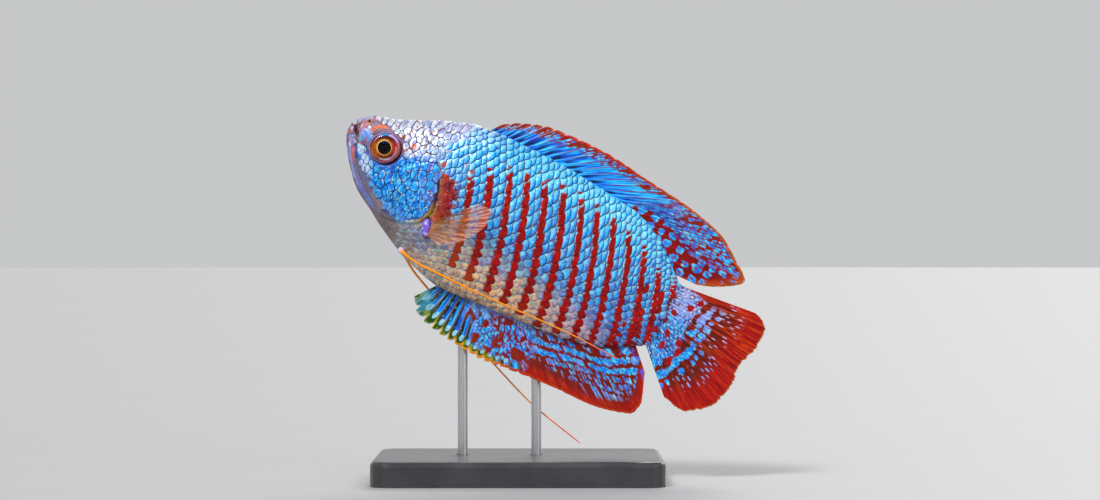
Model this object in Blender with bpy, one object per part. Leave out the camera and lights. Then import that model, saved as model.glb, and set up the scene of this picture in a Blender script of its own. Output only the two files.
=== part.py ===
"""A male dwarf gourami at life size, head up and tail down, on a plain display stand.

The fish is modelled along its own axes and then pitched by one empty:
s runs from snout to tail, w to the fish's right and h to its back, all in millimetres.
"""

import math

import bmesh
import bpy
from mathutils import Matrix, Vector

MM = 0.001
GAP = 0.3  # clearance between touching pieces

# Pose: the body axis points up to the left, and the snout's place sets the whole fish
PITCH = math.radians(29.15)
SNOUT_X = -33.3
SNOUT_Z = 54.4

# The body's stations: s, back, belly, half width, level of the greatest width, half width of its ridges
NOSE_S = -0.9
NOSE_ROUNDING = 1.1
TAIL_S = 57.5
BODY = (
    (-0.9, 3.1, 0.2, 1.00, 1.7, 0.15),
    (0.0, 4.05, -0.7, 1.45, 1.5, 0.20),
    (2.0, 5.55, -3.2, 2.30, 1.2, 0.30),
    (5.3, 6.8, -6.35, 3.55, 0.8, 0.40),
    (8.2, 8.3, -7.85, 4.15, 0.4, 0.50),
    (11.3, 9.95, -9.55, 4.55, 0.1, 0.50),
    (18.7, 12.6, -12.65, 4.75, 0.0, 0.50),
    (24.0, 13.1, -13.6, 4.60, 0.0, 0.50),
    (32.0, 13.3, -12.75, 4.00, 0.1, 0.50),
    (45.0, 12.7, -11.2, 2.60, 0.4, 0.50),
    (50.0, 11.1, -9.9, 2.10, 0.4, 0.50),
    (54.0, 8.6, -8.0, 1.70, 0.3, 0.50),
    (57.5, 5.9, -5.6, 1.25, 0.2, 0.50),
)
SECTION_POWER = 1.1  # above 1 the section is more like a lens than an ellipse
SIDE_POINTS = 16
LIP_STEP = 0.36
LIP_END = 2.6
HEAD_STEP = 0.75
HEAD_END = 18.0
TRUNK_STEP = 2.0
WIDE = 9.0  # half width of a cutter that passes right through the fish

# Where the head, the trunk and the base of the tail are parted, as (s, h)
GILL_LINE = (
    (11.4, 14.0),
    (13.2, 8.0),
    (14.4, 3.6),
    (16.3, 0.4),
    (17.3, -3.2),
    (16.6, -5.6),
    (14.3, -7.1),
    (10.8, -7.8),
    (7.2, -7.5),
    (4.6, -9.4),
)
TAIL_LINE = ((47.3, 15.0), (48.8, 6.0), (49.2, 0.0), (48.8, -6.0), (47.3, -15.0))
CHEEK_LINE = ((13.6, 4.4), (11.4, 2.6), (10.1, -0.2), (9.4, -3.4), (9.0, -6.4), (8.2, -9.0))
COVER_INNER_W = 1.7

# Head features
EYE_S = 6.15
EYE_H = 1.70
EYE_W = 2.85
EYE_RADIUS = 2.6
EYE_DEPTH = 1.4
ORBIT_RISE = 0.18
MOUTH_TOP = (-0.30, 3.05)
MOUTH_CORNER = (1.75, 0.40)
MOUTH_OVERRUN = 1.6
MOUTH_WIDTH = 0.3
LIP_RISE = 0.24
LIP_OFFSET = 0.42
LIP_SPREAD = 0.34
NOSTRIL = (1.75, 4.25)
NOSTRIL_RADIUS = 0.28
NOSTRIL_RISE = 0.14

# Fins. Each row: ray number, s where it leaves the body, then s and h of its tip
DORSAL_RAYS = 25
DORSAL = (
    (0, 19.0, 20.3, 14.2),
    (2, 21.0, 23.4, 16.2),
    (5, 24.3, 28.4, 17.8),
    (9, 30.3, 37.1, 18.4),
    (13, 36.0, 45.0, 17.8),
    (16, 40.7, 51.5, 17.4),
    (19, 46.0, 59.0, 16.0),
    (21, 49.5, 64.2, 13.0),
    (22, 51.5, 66.5, 11.1),
    (23, 54.0, 63.2, 8.3),
    (24, 56.2, 60.2, 6.95),
)
ANAL_RAYS = 32
ANAL = (
    (0, 23.8, 21.4, -16.7),
    (1, 24.9, 22.7, -18.5),
    (2, 25.9, 24.6, -19.5),
    (4, 27.9, 27.8, -20.0),
    (9, 32.6, 34.8, -20.4),
    (13, 36.3, 40.4, -19.6),
    (17, 40.0, 48.0, -18.6),
    (20, 43.0, 54.6, -18.1),
    (24, 47.0, 58.4, -17.2),
    (27, 50.8, 61.2, -15.9),
    (29, 53.6, 61.5, -14.2),
    (31, 56.3, 59.6, -9.4),
)
# Here the second number is the height at which the ray leaves the tail
CAUDAL_RAYS = 17
CAUDAL = (
    (0, 5.5, 70.6, 7.6),
    (1, 4.9, 72.2, 7.1),
    (2, 4.3, 73.4, 5.9),
    (4, 3.0, 73.5, 3.1),
    (7, 1.0, 72.4, -1.6),
    (9, -0.4, 72.9, -4.2),
    (12, -2.6, 71.9, -8.3),
    (14, -4.0, 69.2, -11.1),
    (15, -4.7, 67.6, -11.9),
    (16, -5.3, 64.4, -11.5),
)
# Ray number, s and h of the root, s and h of the tip
PECTORAL_RAYS = 10
PECTORAL = (
    (0, 18.3, -4.9, 23.2, 1.0),
    (2, 18.4, -5.3, 25.6, 1.6),
    (4, 18.5, -5.8, 26.2, -0.9),
    (6, 18.6, -6.3, 25.2, -3.6),
    (8, 18.7, -6.9, 22.9, -6.4),
    (9, 18.8, -7.2, 21.0, -7.6),
)
PECTORAL_LIFT = 0.7  # how far the fin stands off the flank at its root
PECTORAL_LEAN = 0.22  # and for each millimetre of its length
PAD_CENTRE = (17.95, -6.05)
PAD_RADII = (0.8, 0.95, 1.85)
PAD_TURN = math.radians(25.0)
RAY_CREST = 0.12
RAY_EDGE = 0.28
MEMBRANE_ROOT = 0.34
MEMBRANE_TIP = 0.2
CAUDAL_ROOT = 0.85

# The pelvic fins are two long feelers: s, h and how far each point stands off the body
LEFT_FEELER = (
    (16.0, -11.2, 0.0),
    (16.9, -11.45, 1.0),
    (19.4, -11.75, 1.1),
    (23.6, -11.55, 0.9),
    (28.3, -11.3, 0.9),
    (33.4, -10.9, 0.9),
    (40.0, -10.25, 1.0),
    (47.0, -9.7, 1.2),
    (54.7, -9.55, 1.6),
)
# The right one hangs below the belly, so its own w is given
RIGHT_FEELER = (
    (16.0, -11.2, 1.7),
    (17.2, -12.1, 2.7),
    (19.9, -13.6, 3.5),
    (25.5, -15.7, 3.8),
    (32.0, -18.05, 3.8),
    (38.2, -20.2, 3.6),
    (46.4, -22.7, 3.1),
    (56.2, -24.4, 2.4),
)
FEELER_ROOT_RADIUS = 0.55
FEELER_RADIUS = 0.28
FEELER_TIP_RADIUS = 0.15
FEELER_SIDES = 6
FEELER_POINTS = 28
FEELER_POCKET = 1.0

# The stand, in the part's own axes
BASE_SIZE = (46.0, 34.0, 4.0)
BASE_X = -6.0
BASE_EDGE = 0.8
ROD_RADIUS = 0.8
ROD_Y = 1.5
ROD_TOPS = {"stand_rod_front": (-15.0, 33.4), "stand_rod_rear": (-3.2, 27.8)}
ROD_SINK = 2.2
ROD_SIDES = 20

COLOURS = {
    "skin_blue": ((0.16, 0.46, 0.74, 1.0), 0.35, 0.3),
    "fin_red": ((0.55, 0.09, 0.04, 1.0), 0.4, 0.0),
    "fin_clear": ((0.72, 0.5, 0.32, 1.0), 0.35, 0.0),
    "feeler_orange": ((0.85, 0.36, 0.03, 1.0), 0.4, 0.0),
    "eye_amber": ((0.5, 0.16, 0.03, 1.0), 0.12, 0.2),
    "stand_dark": ((0.05, 0.05, 0.055, 1.0), 0.35, 0.0),
    "stand_steel": ((0.62, 0.62, 0.64, 1.0), 0.25, 1.0),
}


def clear_scene():
    for obj in list(bpy.data.objects):
        bpy.data.objects.remove(obj)


def material(slot):
    found = bpy.data.materials.get(slot)
    if found:
        return found
    colour, roughness, metallic = COLOURS[slot]
    made = bpy.data.materials.new(slot)
    made.use_nodes = True
    shader = made.node_tree.nodes["Principled BSDF"]
    shader.inputs["Base Color"].default_value = colour
    shader.inputs["Roughness"].default_value = roughness
    shader.inputs["Metallic"].default_value = metallic
    return made


def slopes(xs, ys):
    """Slopes that keep a cubic through these points from overshooting."""
    steps = [(ys[i + 1] - ys[i]) / (xs[i + 1] - xs[i]) for i in range(len(xs) - 1)]
    found = [steps[0]]
    for before, after in zip(steps, steps[1:]):
        same_way = before * after > 0
        found.append(2 * before * after / (before + after) if same_way else 0.0)
    return found + [steps[-1]]


def smooth_at(table, x):
    """The other columns of a table at x, on smooth curves through its rows."""
    xs = [row[0] for row in table]
    x = min(max(x, xs[0]), xs[-1])
    k = max(i for i in range(len(xs) - 1) if xs[i] <= x)
    span = xs[k + 1] - xs[k]
    t = (x - xs[k]) / span
    values = []
    for column in range(1, len(table[0])):
        ys = [row[column] for row in table]
        m = slopes(xs, ys)
        values.append(
            (1 + 2 * t) * (1 - t) ** 2 * ys[k]
            + t * (1 - t) ** 2 * span * m[k]
            + t * t * (3 - 2 * t) * ys[k + 1]
            + t * t * (t - 1) * span * m[k + 1]
        )
    return values


def spline(points, count):
    """Evenly numbered points on a smooth curve through the given ones."""
    points = [Vector(p) for p in points]
    ends = [points[0] * 2 - points[1]] + points + [points[-1] * 2 - points[-2]]
    made = []
    for i in range(count):
        x = i / (count - 1) * (len(points) - 1)
        k = min(int(x), len(points) - 2)
        t = x - k
        a, b, c, d = ends[k : k + 4]
        made.append(
            0.5 * (2 * b + (c - a) * t + (2 * a - 5 * b + 4 * c - d) * t**2 + (3 * b - a - 3 * c + d) * t**3)
        )
    return made


def section(s):
    """Back, belly, half width, level of the greatest width and ridge at s, rounded off at the nose."""
    back, belly, half, level, ridge = smooth_at(BODY, s)
    t = (s - NOSE_S) / NOSE_ROUNDING
    if t < 1:
        f = math.sqrt(max(1 - (1 - t) ** 2, 0))
        back = level + (back - level) * f
        belly = level + (belly - level) * f
        half *= f
        ridge *= f
    return back, belly, half, level, ridge


def flank(s, h):
    """Half width of the body at s and h."""
    back, belly, half, level, ridge = section(s)
    reach = back - level if h > level else level - belly
    x = min(abs(h - level) / reach, 1.0)
    return ridge + (half - ridge) * (1 - x * x) ** (SECTION_POWER / 2)


def back_point(s, away):
    """A point at this distance above the ridge of the back."""
    near = 0.05
    rise = (section(s + near)[0] - section(s - near)[0]) / (2 * near)
    length = math.hypot(1, rise)
    return s - away * rise / length, section(s)[0] + away / length


def belly_point(s, away):
    """A point at this distance below the ridge of the belly."""
    near = 0.05
    rise = (section(s + near)[1] - section(s - near)[1]) / (2 * near)
    length = math.hypot(1, rise)
    return s + away * rise / length, section(s)[1] - away / length


def distance_to_mouth(s, h):
    """Distance in the side view from the line of the mouth."""
    start, end = Vector(MOUTH_TOP), Vector(MOUTH_CORNER)
    along = end - start
    t = min(max((Vector((s, h)) - start).dot(along) / along.length_squared, 0.0), 1.0)
    return (Vector((s, h)) - start - along * t).length


def relief(s, h):
    """How far the head's surface stands out: lips, the rim of the orbit and of the nostril."""
    mouth = math.exp(-(((distance_to_mouth(s, h) - LIP_OFFSET) / LIP_SPREAD) ** 2))
    from_eye = math.hypot(s - EYE_S, h - EYE_H)
    orbit = math.exp(-(((from_eye - EYE_RADIUS - GAP) / 0.8) ** 2))
    from_nostril = math.hypot(s - NOSTRIL[0], h - NOSTRIL[1])
    nostril = math.exp(-((from_nostril / 0.55) ** 2))
    return LIP_RISE * mouth + ORBIT_RISE * orbit + NOSTRIL_RISE * nostril


def new_object(name, points, faces, slot=None):
    """A mesh object from points in millimetres, with its faces turned outwards."""
    mesh = bpy.data.meshes.new(name)
    mesh.from_pydata([Vector(p) * MM for p in points], [], faces)
    bm = bmesh.new()
    bm.from_mesh(mesh)
    bmesh.ops.recalc_face_normals(bm, faces=bm.faces)
    if bm.calc_volume(signed=True) < 0:
        bmesh.ops.reverse_faces(bm, faces=bm.faces)
    bm.to_mesh(mesh)
    bm.free()
    obj = bpy.data.objects.new(name, mesh)
    bpy.context.scene.collection.objects.link(obj)
    if slot:
        mesh.materials.append(material(slot))
    return obj


def ring_stations():
    """Places of the body's rings, closest together on the rounded nose and the lips."""
    nose = [NOSE_S + NOSE_ROUNDING * (1 - math.cos(math.radians(a))) for a in (18, 36, 54, 72, 90)]
    stations = list(nose)
    for step, end in ((LIP_STEP, LIP_END), (HEAD_STEP, HEAD_END)):
        while stations[-1] + step < end:
            stations.append(stations[-1] + step)
    count = math.ceil((TAIL_S - stations[-1]) / TRUNK_STEP)
    step = (TAIL_S - stations[-1]) / count
    start = stations[-1]
    return stations + [start + step * (i + 1) for i in range(count)]


def body_ring(s):
    """The points of one ring: up the right side and down the left."""
    back, belly, half, level, ridge = section(s)
    right = []
    for i in range(SIDE_POINTS + 1):
        angle = math.radians(-90 + 180 * i / SIDE_POINTS)
        reach = back - level if angle > 0 else level - belly
        w = ridge + (half - ridge) * max(math.cos(angle), 0.0) ** SECTION_POWER
        right.append(Vector((s, w, level + reach * math.sin(angle))))
    left = [Vector((p.x, -p.y, p.z)) for p in reversed(right)]
    return right + left


def whole_body():
    """The fish without fins as one closed skin, with the relief of the head."""
    rings = [body_ring(s) for s in ring_stations()]
    around = len(rings[0])
    points = [p for ring in rings for p in ring]
    faces = []
    for r in range(len(rings) - 1):
        for i in range(around):
            j = (i + 1) % around
            faces.append((r * around + i, r * around + j, (r + 1) * around + j, (r + 1) * around + i))
    points.append(Vector((NOSE_S, 0, smooth_at(BODY, NOSE_S)[3])))
    nose = len(points) - 1
    faces += [(nose, (i + 1) % around, i) for i in range(around)]
    last = (len(rings) - 1) * around
    faces.append(tuple(range(last, last + around)))
    body = new_object("whole_body", points, faces)
    bm = bmesh.new()
    bm.from_mesh(body.data)
    bm.normal_update()
    raised = [(v, v.normal * relief(v.co.x / MM, v.co.z / MM) * MM) for v in bm.verts if v.co.x < HEAD_END * MM]
    for v, rise in raised:
        v.co += rise
    bm.to_mesh(body.data)
    bm.free()
    return body


def offset_line(line, by):
    """A smooth line through these points, moved sideways: positive is to the right of its direction."""
    points = spline([(p[0], p[1], 0) for p in line], 4 * len(line))
    moved = []
    for i, p in enumerate(points):
        ahead = points[min(i + 1, len(points) - 1)] - points[max(i - 1, 0)]
        side = Vector((ahead.y, -ahead.x, 0)).normalized()
        moved.append((p.x + side.x * by, p.y + side.y * by))
    return moved


def prism(name, outline, w_from, w_to):
    """A side-view outline in s and h, made solid between two distances from the middle."""
    n = len(outline)
    points = [(s, w_from, h) for s, h in outline] + [(s, w_to, h) for s, h in outline]
    faces = [tuple(range(n)), tuple(range(2 * n - 1, n - 1, -1))]
    faces += [(i, (i + 1) % n, n + (i + 1) % n, n + i) for i in range(n)]
    return new_object(name, points, faces)


def ellipsoid(name, centre, radii, turn=0.0, segments=22, rings=12, slot=None):
    """A closed ellipsoid. turn rocks it in the side view."""
    bm = bmesh.new()
    bmesh.ops.create_uvsphere(bm, u_segments=segments, v_segments=rings, radius=1.0)
    upright = Matrix.Rotation(math.radians(90), 4, "X")
    place = (
        Matrix.Translation(Vector(centre))
        @ Matrix.Rotation(turn, 4, "Y")
        @ Matrix.Diagonal((*radii, 1.0))
        @ upright
    )
    bmesh.ops.transform(bm, matrix=place, verts=bm.verts)
    points = [v.co.copy() for v in bm.verts]
    faces = [tuple(v.index for v in f.verts) for f in bm.faces]
    bm.free()
    return new_object(name, points, faces, slot)


def combined(obj, others, operation, name=None):
    """The object after a Boolean with each of the others, which stay in the scene."""
    made = bpy.data.objects.new(name or obj.name, obj.data.copy())
    bpy.context.scene.collection.objects.link(made)
    for other in others:
        step = made.modifiers.new("step", "BOOLEAN")
        step.operation = operation
        step.object = other
        step.solver = "EXACT"
    graph = bpy.context.evaluated_depsgraph_get()
    mesh = bpy.data.meshes.new_from_object(made.evaluated_get(graph))
    made.modifiers.clear()
    made.data = mesh
    keep_largest(made)
    return made


def keep_largest(obj):
    """Leaves only the largest closed surface of the mesh."""
    bm = bmesh.new()
    bm.from_mesh(obj.data)
    bmesh.ops.remove_doubles(bm, verts=bm.verts, dist=0.002 * MM)
    bmesh.ops.triangulate(bm, faces=bm.faces)
    unseen = set(bm.verts)
    groups = []
    while unseen:
        stack = [unseen.pop()]
        group = set(stack)
        while stack:
            for edge in stack.pop().link_edges:
                for v in edge.verts:
                    if v in unseen:
                        unseen.discard(v)
                        group.add(v)
                        stack.append(v)
        groups.append(group)
    groups.sort(key=len)
    for group in groups[:-1]:
        bmesh.ops.delete(bm, geom=list(group), context="VERTS")
    bm.to_mesh(obj.data)
    bm.free()


def remove(*objects):
    for obj in objects:
        bpy.data.objects.remove(obj)


def finish_node(obj, name, slot, parent):
    """Names the node, gives it its finish and hangs it on the fish's own axes."""
    obj.name = name
    obj.data.name = name
    obj.data.materials.clear()
    obj.data.materials.append(material(slot))
    obj.data.shade_smooth()
    obj.data.set_sharp_from_angle(angle=math.radians(40))
    obj.parent = parent
    return obj


def fin_sheet(name, rows, root, thickness, scallop, sway, rays, steps):
    """A fin as a thin closed sheet whose rays are ridges in its own surface.

    rows gives root and tip of a ray from its number, thickness half the membrane at v,
    scallop how much shorter the membrane is than the rays beside it, sway its place in w.
    """
    columns = [k + part for k in range(rays - 1) for part in (0.0, RAY_EDGE, 1 - RAY_EDGE)] + [rays - 1.0]
    grid = []
    for x in columns:
        start, end = rows(x)
        on_ray = abs(x - round(x)) < 1e-6
        reach = 1.0 if on_ray else 1.0 - scallop(x)
        for i in range(steps + 1):
            v = i / steps * reach
            s = start[0] + (end[0] - start[0]) * v
            h = start[1] + (end[1] - start[1]) * v
            half = thickness(v) + (RAY_CREST * (1 - 0.5 * v) if on_ray else 0.0)
            grid.append((s, h, sway(x, v), half))
    across = len(columns)
    points = [(s, w + half, h) for s, h, w, half in grid] + [(s, w - half, h) for s, h, w, half in grid]
    size = len(grid)
    faces = []
    for c in range(across - 1):
        for i in range(steps):
            a = c * (steps + 1) + i
            b, d = a + 1, a + steps + 1
            faces += [(a, b, d + 1), (a, d + 1, d)]
            faces += [(size + a, size + d + 1, size + b), (size + a, size + d, size + d + 1)]
    rim = [i for i in range(steps + 1)]
    rim += [c * (steps + 1) + steps for c in range(1, across)]
    rim += [(across - 1) * (steps + 1) + i for i in range(steps - 1, -1, -1)]
    rim += [c * (steps + 1) for c in range(across - 2, 0, -1)]
    for a, b in zip(rim, rim[1:] + rim[:1]):
        faces += [(a, b, size + b), (a, size + b, size + a)]
    return new_object(name, points, faces, root)


def sheet_taper(root, tip=MEMBRANE_TIP, power=1.5):
    """Half the thickness of a membrane, from its root to its edge."""
    return lambda v: tip + (root - tip) * (1 - v) ** power


def dorsal_fin():
    def ray(x):
        s, tip_s, tip_h = smooth_at(DORSAL, x)
        return back_point(s, GAP), (tip_s, tip_h)

    def scallop(x):
        return 0.30 if x < 4 else 0.12 if x < 12 else 0.05

    def sway(x, v):
        return 0.35 * v * v * math.sin(0.5 * x)

    return fin_sheet("dorsal_fin", ray, "fin_red", sheet_taper(MEMBRANE_ROOT), scallop, sway, DORSAL_RAYS, 4)


def anal_fin():
    def ray(x):
        s, tip_s, tip_h = smooth_at(ANAL, x)
        return belly_point(s, GAP), (tip_s, tip_h)

    def scallop(x):
        return 0.24 if x < 5 else 0.12 if x < 13 else 0.05

    def sway(x, v):
        return -0.25 * v * v * (1 + math.sin(0.45 * x))

    return fin_sheet("anal_fin", ray, "fin_red", sheet_taper(MEMBRANE_ROOT), scallop, sway, ANAL_RAYS, 4)


def caudal_fin():
    def ray(x):
        h, tip_s, tip_h = smooth_at(CAUDAL, x)
        return (TAIL_S + GAP, h), (tip_s, tip_h)

    def sway(x, v):
        return 0.5 * v * v * math.sin(0.35 * x)

    def scallop(x):
        return 0.025

    return fin_sheet("caudal_fin", ray, "fin_red", sheet_taper(CAUDAL_ROOT, power=3), scallop, sway, CAUDAL_RAYS, 6)


def pad(name, side, grow):
    """The fleshy root of a pectoral fin."""
    s, h = PAD_CENTRE
    radii = [r + grow for r in PAD_RADII]
    return ellipsoid(name, (s, side * flank(s, h), h), radii, -PAD_TURN, 16, 10)


def pectoral_fin(name, side):
    """The fan and its fleshy root. side is -1 on the left and 1 on the right."""

    def ray(x):
        s, h, tip_s, tip_h = smooth_at(PECTORAL, x)
        return (s, h), (tip_s, tip_h)

    def sway(x, v):
        start, end = ray(x)
        s = start[0] + (end[0] - start[0]) * v
        h = start[1] + (end[1] - start[1]) * v
        return side * (flank(s, h) + PECTORAL_LIFT + PECTORAL_LEAN * math.dist(start, end) * v)

    def scallop(x):
        return 0.03

    sheet = fin_sheet("fan", ray, None, sheet_taper(0.3, 0.18), scallop, sway, PECTORAL_RAYS, 3)
    root = pad("root", side, 0.0)
    made = combined(sheet, [root], "UNION", name)
    remove(sheet, root)
    return made


def feeler_path(side):
    if side < 0:
        return [(s, -(flank(s, h) + away), h) for s, h, away in LEFT_FEELER]
    return [(s, w, h) for s, h, w in RIGHT_FEELER]


def feeler(name, side):
    """A pelvic fin: one long thread, thicker at its root."""
    path = spline(feeler_path(side), FEELER_POINTS)
    points = []
    for i, p in enumerate(path):
        t = i / (len(path) - 1)
        ahead = (path[min(i + 1, len(path) - 1)] - path[max(i - 1, 0)]).normalized()
        across = ahead.cross(Vector((0, 1, 0))).normalized()
        up = across.cross(ahead)
        radius = FEELER_RADIUS + (FEELER_TIP_RADIUS - FEELER_RADIUS) * t
        radius += (FEELER_ROOT_RADIUS - FEELER_RADIUS) * math.exp(-((t / 0.09) ** 2))
        for k in range(FEELER_SIDES):
            a = 2 * math.pi * k / FEELER_SIDES
            points.append(p + (across * math.cos(a) + up * math.sin(a)) * radius)
    n = FEELER_SIDES
    faces = [tuple(range(n)), tuple(range(len(points) - n, len(points)))]
    for r in range(len(path) - 1):
        faces += [(r * n + k, r * n + (k + 1) % n, (r + 1) * n + (k + 1) % n, (r + 1) * n + k) for k in range(n)]
    return new_object(name, points, faces)


def feeler_pocket(side):
    """The hollow in the breast that takes a feeler's root."""
    first = Vector(feeler_path(side)[0])
    return ellipsoid("pocket", first, (FEELER_POCKET,) * 3, 0.0, 14, 8)


def mouth_slot():
    """The thin slot between the lips."""
    start, end = Vector(MOUTH_TOP), Vector(MOUTH_CORNER)
    along = (end - start).normalized()
    side = Vector((-along.y, along.x)) * MOUTH_WIDTH / 2
    out = start - along * MOUTH_OVERRUN
    return prism("slot", [out + side, end + side, end - side, out - side], -WIDE, WIDE)


def cylinder(name, radius, bottom, top, slot=None):
    """An upright cylinder between two centres, in the part's own axes."""
    points = []
    for centre in (bottom, top):
        for k in range(ROD_SIDES):
            a = 2 * math.pi * k / ROD_SIDES
            points.append(Vector(centre) + Vector((radius * math.cos(a), radius * math.sin(a), 0)))
    n = ROD_SIDES
    faces = [tuple(range(n)), tuple(range(2 * n - 1, n - 1, -1))]
    faces += [(k, (k + 1) % n, n + (k + 1) % n, n + k) for k in range(n)]
    return new_object(name, points, faces, slot)


def fish_axes():
    """The empty that carries the fish and gives it its pitch."""
    axes = bpy.data.objects.new("fish_axes", None)
    bpy.context.scene.collection.objects.link(axes)
    axes.location = (SNOUT_X * MM, 0, SNOUT_Z * MM)
    axes.rotation_euler = (0, PITCH, 0)
    return axes


def stand():
    """A flat base and two short rods, each sunk in the base and in the belly beside the anal fin."""
    length, width, height = BASE_SIZE
    half = [(-length / 2, -width / 2), (length / 2, -width / 2), (length / 2, width / 2), (-length / 2, width / 2)]
    points = [(BASE_X + x, y, z) for z in (0, height) for x, y in half]
    faces = [(0, 3, 2, 1), (4, 5, 6, 7)] + [(i, (i + 1) % 4, 4 + (i + 1) % 4, 4 + i) for i in range(4)]
    plate = new_object("plate", points, faces)
    bm = bmesh.new()
    bm.from_mesh(plate.data)
    upright = [e for e in bm.edges if abs(e.verts[0].co.z - e.verts[1].co.z) > height * MM / 2]
    bmesh.ops.bevel(bm, geom=upright, offset=3.0 * MM, segments=5, affect="EDGES", profile=0.5)
    top = [e for e in bm.edges if all(v.co.z > (height - 0.01) * MM for v in e.verts) and len(e.link_faces) == 2]
    top = [e for e in top if abs(e.link_faces[0].normal.z - e.link_faces[1].normal.z) > 0.5]
    bmesh.ops.bevel(bm, geom=top, offset=BASE_EDGE * MM, segments=3, affect="EDGES", profile=0.5)
    bm.to_mesh(plate.data)
    bm.free()
    holes = []
    rods = []
    for name, (x, top_z) in ROD_TOPS.items():
        foot = height - ROD_SINK
        rods.append(cylinder(name, ROD_RADIUS, (x, ROD_Y, foot + GAP), (x, ROD_Y, top_z), "stand_steel"))
        holes.append(cylinder("hole", ROD_RADIUS + GAP, (x, ROD_Y, foot), (x, ROD_Y, height + 5)))
    base = combined(plate, holes, "DIFFERENCE", "stand_base")
    base.data.materials.append(material("stand_dark"))
    remove(plate, *holes)
    return base, rods


def rod_sockets():
    """The blind holes in the belly that take the rods, turned into the fish's own axes."""
    place = Matrix.Translation((SNOUT_X, 0, SNOUT_Z)) @ Matrix.Rotation(PITCH, 4, "Y")
    sockets = []
    for x, top_z in ROD_TOPS.values():
        socket = cylinder("socket", ROD_RADIUS + GAP, (x, ROD_Y, top_z - 14), (x, ROD_Y, top_z + GAP))
        to_metres = Matrix.Scale(MM, 4)
        socket.data.transform(to_metres @ place.inverted() @ to_metres.inverted())
        sockets.append(socket)
    return sockets


def flesh(parent):
    """The head, its gill covers, the trunk and the base of the tail, parted by thin cuts."""
    body = whole_body()
    before_gill = offset_line(GILL_LINE, GAP / 2)
    behind_gill = offset_line(GILL_LINE, -GAP / 2)
    before_tail = offset_line(TAIL_LINE, GAP / 2)
    behind_tail = offset_line(TAIL_LINE, -GAP / 2)
    front = prism("front", before_gill + [(-9, -12), (-9, 16)], -WIDE, WIDE)
    middle = prism("middle", behind_gill + [(6, -19)] + before_tail[::-1] + [(12, 18)], -WIDE, WIDE)
    rear = prism("rear", behind_tail + [(66, -16), (66, 16)], -WIDE, WIDE)
    whole_head = combined(body, [front], "INTERSECT", "whole_head")
    whole_trunk = combined(body, [middle], "INTERSECT", "whole_trunk")
    tail = combined(body, [rear], "INTERSECT")
    remove(body, front, middle, rear)

    pads = [pad("pad", side, GAP) for side in (-1, 1)]
    seat_line = offset_line(CHEEK_LINE, GAP)
    seats = []
    made = []
    for side, name in ((-1, "gill_cover_left"), (1, "gill_cover_right")):
        cover_outline = offset_line(CHEEK_LINE, 0) + [(20, -9.0), (20, 4.4)]
        seat_outline = seat_line + [(20, -9.4), (20, 4.4 + GAP)]
        low, high = sorted((side * COVER_INNER_W, side * WIDE))
        outer = prism("outer", cover_outline, low, high)
        cover = combined(whole_head, [outer], "INTERSECT", "cover")
        made.append(finish_node(combined(cover, pads, "DIFFERENCE"), name, "skin_blue", parent))
        remove(cover, outer)
        low, high = sorted((side * (COVER_INNER_W - GAP), side * WIDE))
        seats.append(prism("seat", seat_outline, low, high))

    sockets = [
        ellipsoid(
            "orbit", (EYE_S, side * EYE_W, EYE_H), (EYE_RADIUS + GAP, EYE_DEPTH + GAP, EYE_RADIUS + GAP), 0.0, 24, 10
        )
        for side in (-1, 1)
    ]
    nostrils = [
        ellipsoid("nostril", (*NOSTRIL[:1], side * (flank(*NOSTRIL) + NOSTRIL_RISE), NOSTRIL[1]),
                  (NOSTRIL_RADIUS, 0.5, NOSTRIL_RADIUS), 0.0, 10, 6)
        for side in (-1, 1)
    ]
    slot = mouth_slot()
    head = combined(whole_head, seats + sockets + nostrils + [slot], "DIFFERENCE")
    made.append(finish_node(head, "head", "skin_blue", parent))
    pockets = [feeler_pocket(side) for side in (-1, 1)]
    rods = rod_sockets()
    trunk = combined(whole_trunk, pads + pockets + rods, "DIFFERENCE")
    made.append(finish_node(trunk, "trunk", "skin_blue", parent))
    made.append(finish_node(tail, "tail_base", "skin_blue", parent))
    remove(whole_head, whole_trunk, slot, *pads, *seats, *sockets, *nostrils, *pockets, *rods)
    return made


def fins(parent):
    finish_node(dorsal_fin(), "dorsal_fin", "fin_red", parent)
    finish_node(anal_fin(), "anal_fin", "fin_red", parent)
    finish_node(caudal_fin(), "caudal_fin", "fin_red", parent)
    for side, word in ((-1, "left"), (1, "right")):
        name = "pectoral_fin_" + word
        finish_node(pectoral_fin(name, side), name, "fin_clear", parent)
        name = "pelvic_feeler_" + word
        finish_node(feeler(name, side), name, "feeler_orange", parent)


def eyes(parent):
    for side, word in ((-1, "left"), (1, "right")):
        ball = ellipsoid(
            "eye", (EYE_S, side * EYE_W, EYE_H), (EYE_RADIUS, EYE_DEPTH, EYE_RADIUS), 0.0, 20, 10
        )
        finish_node(ball, "eye_" + word, "eye_amber", parent)


def main():
    clear_scene()
    axes = fish_axes()
    flesh(axes)
    fins(axes)
    eyes(axes)
    stand()


main()
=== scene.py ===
import math

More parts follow.
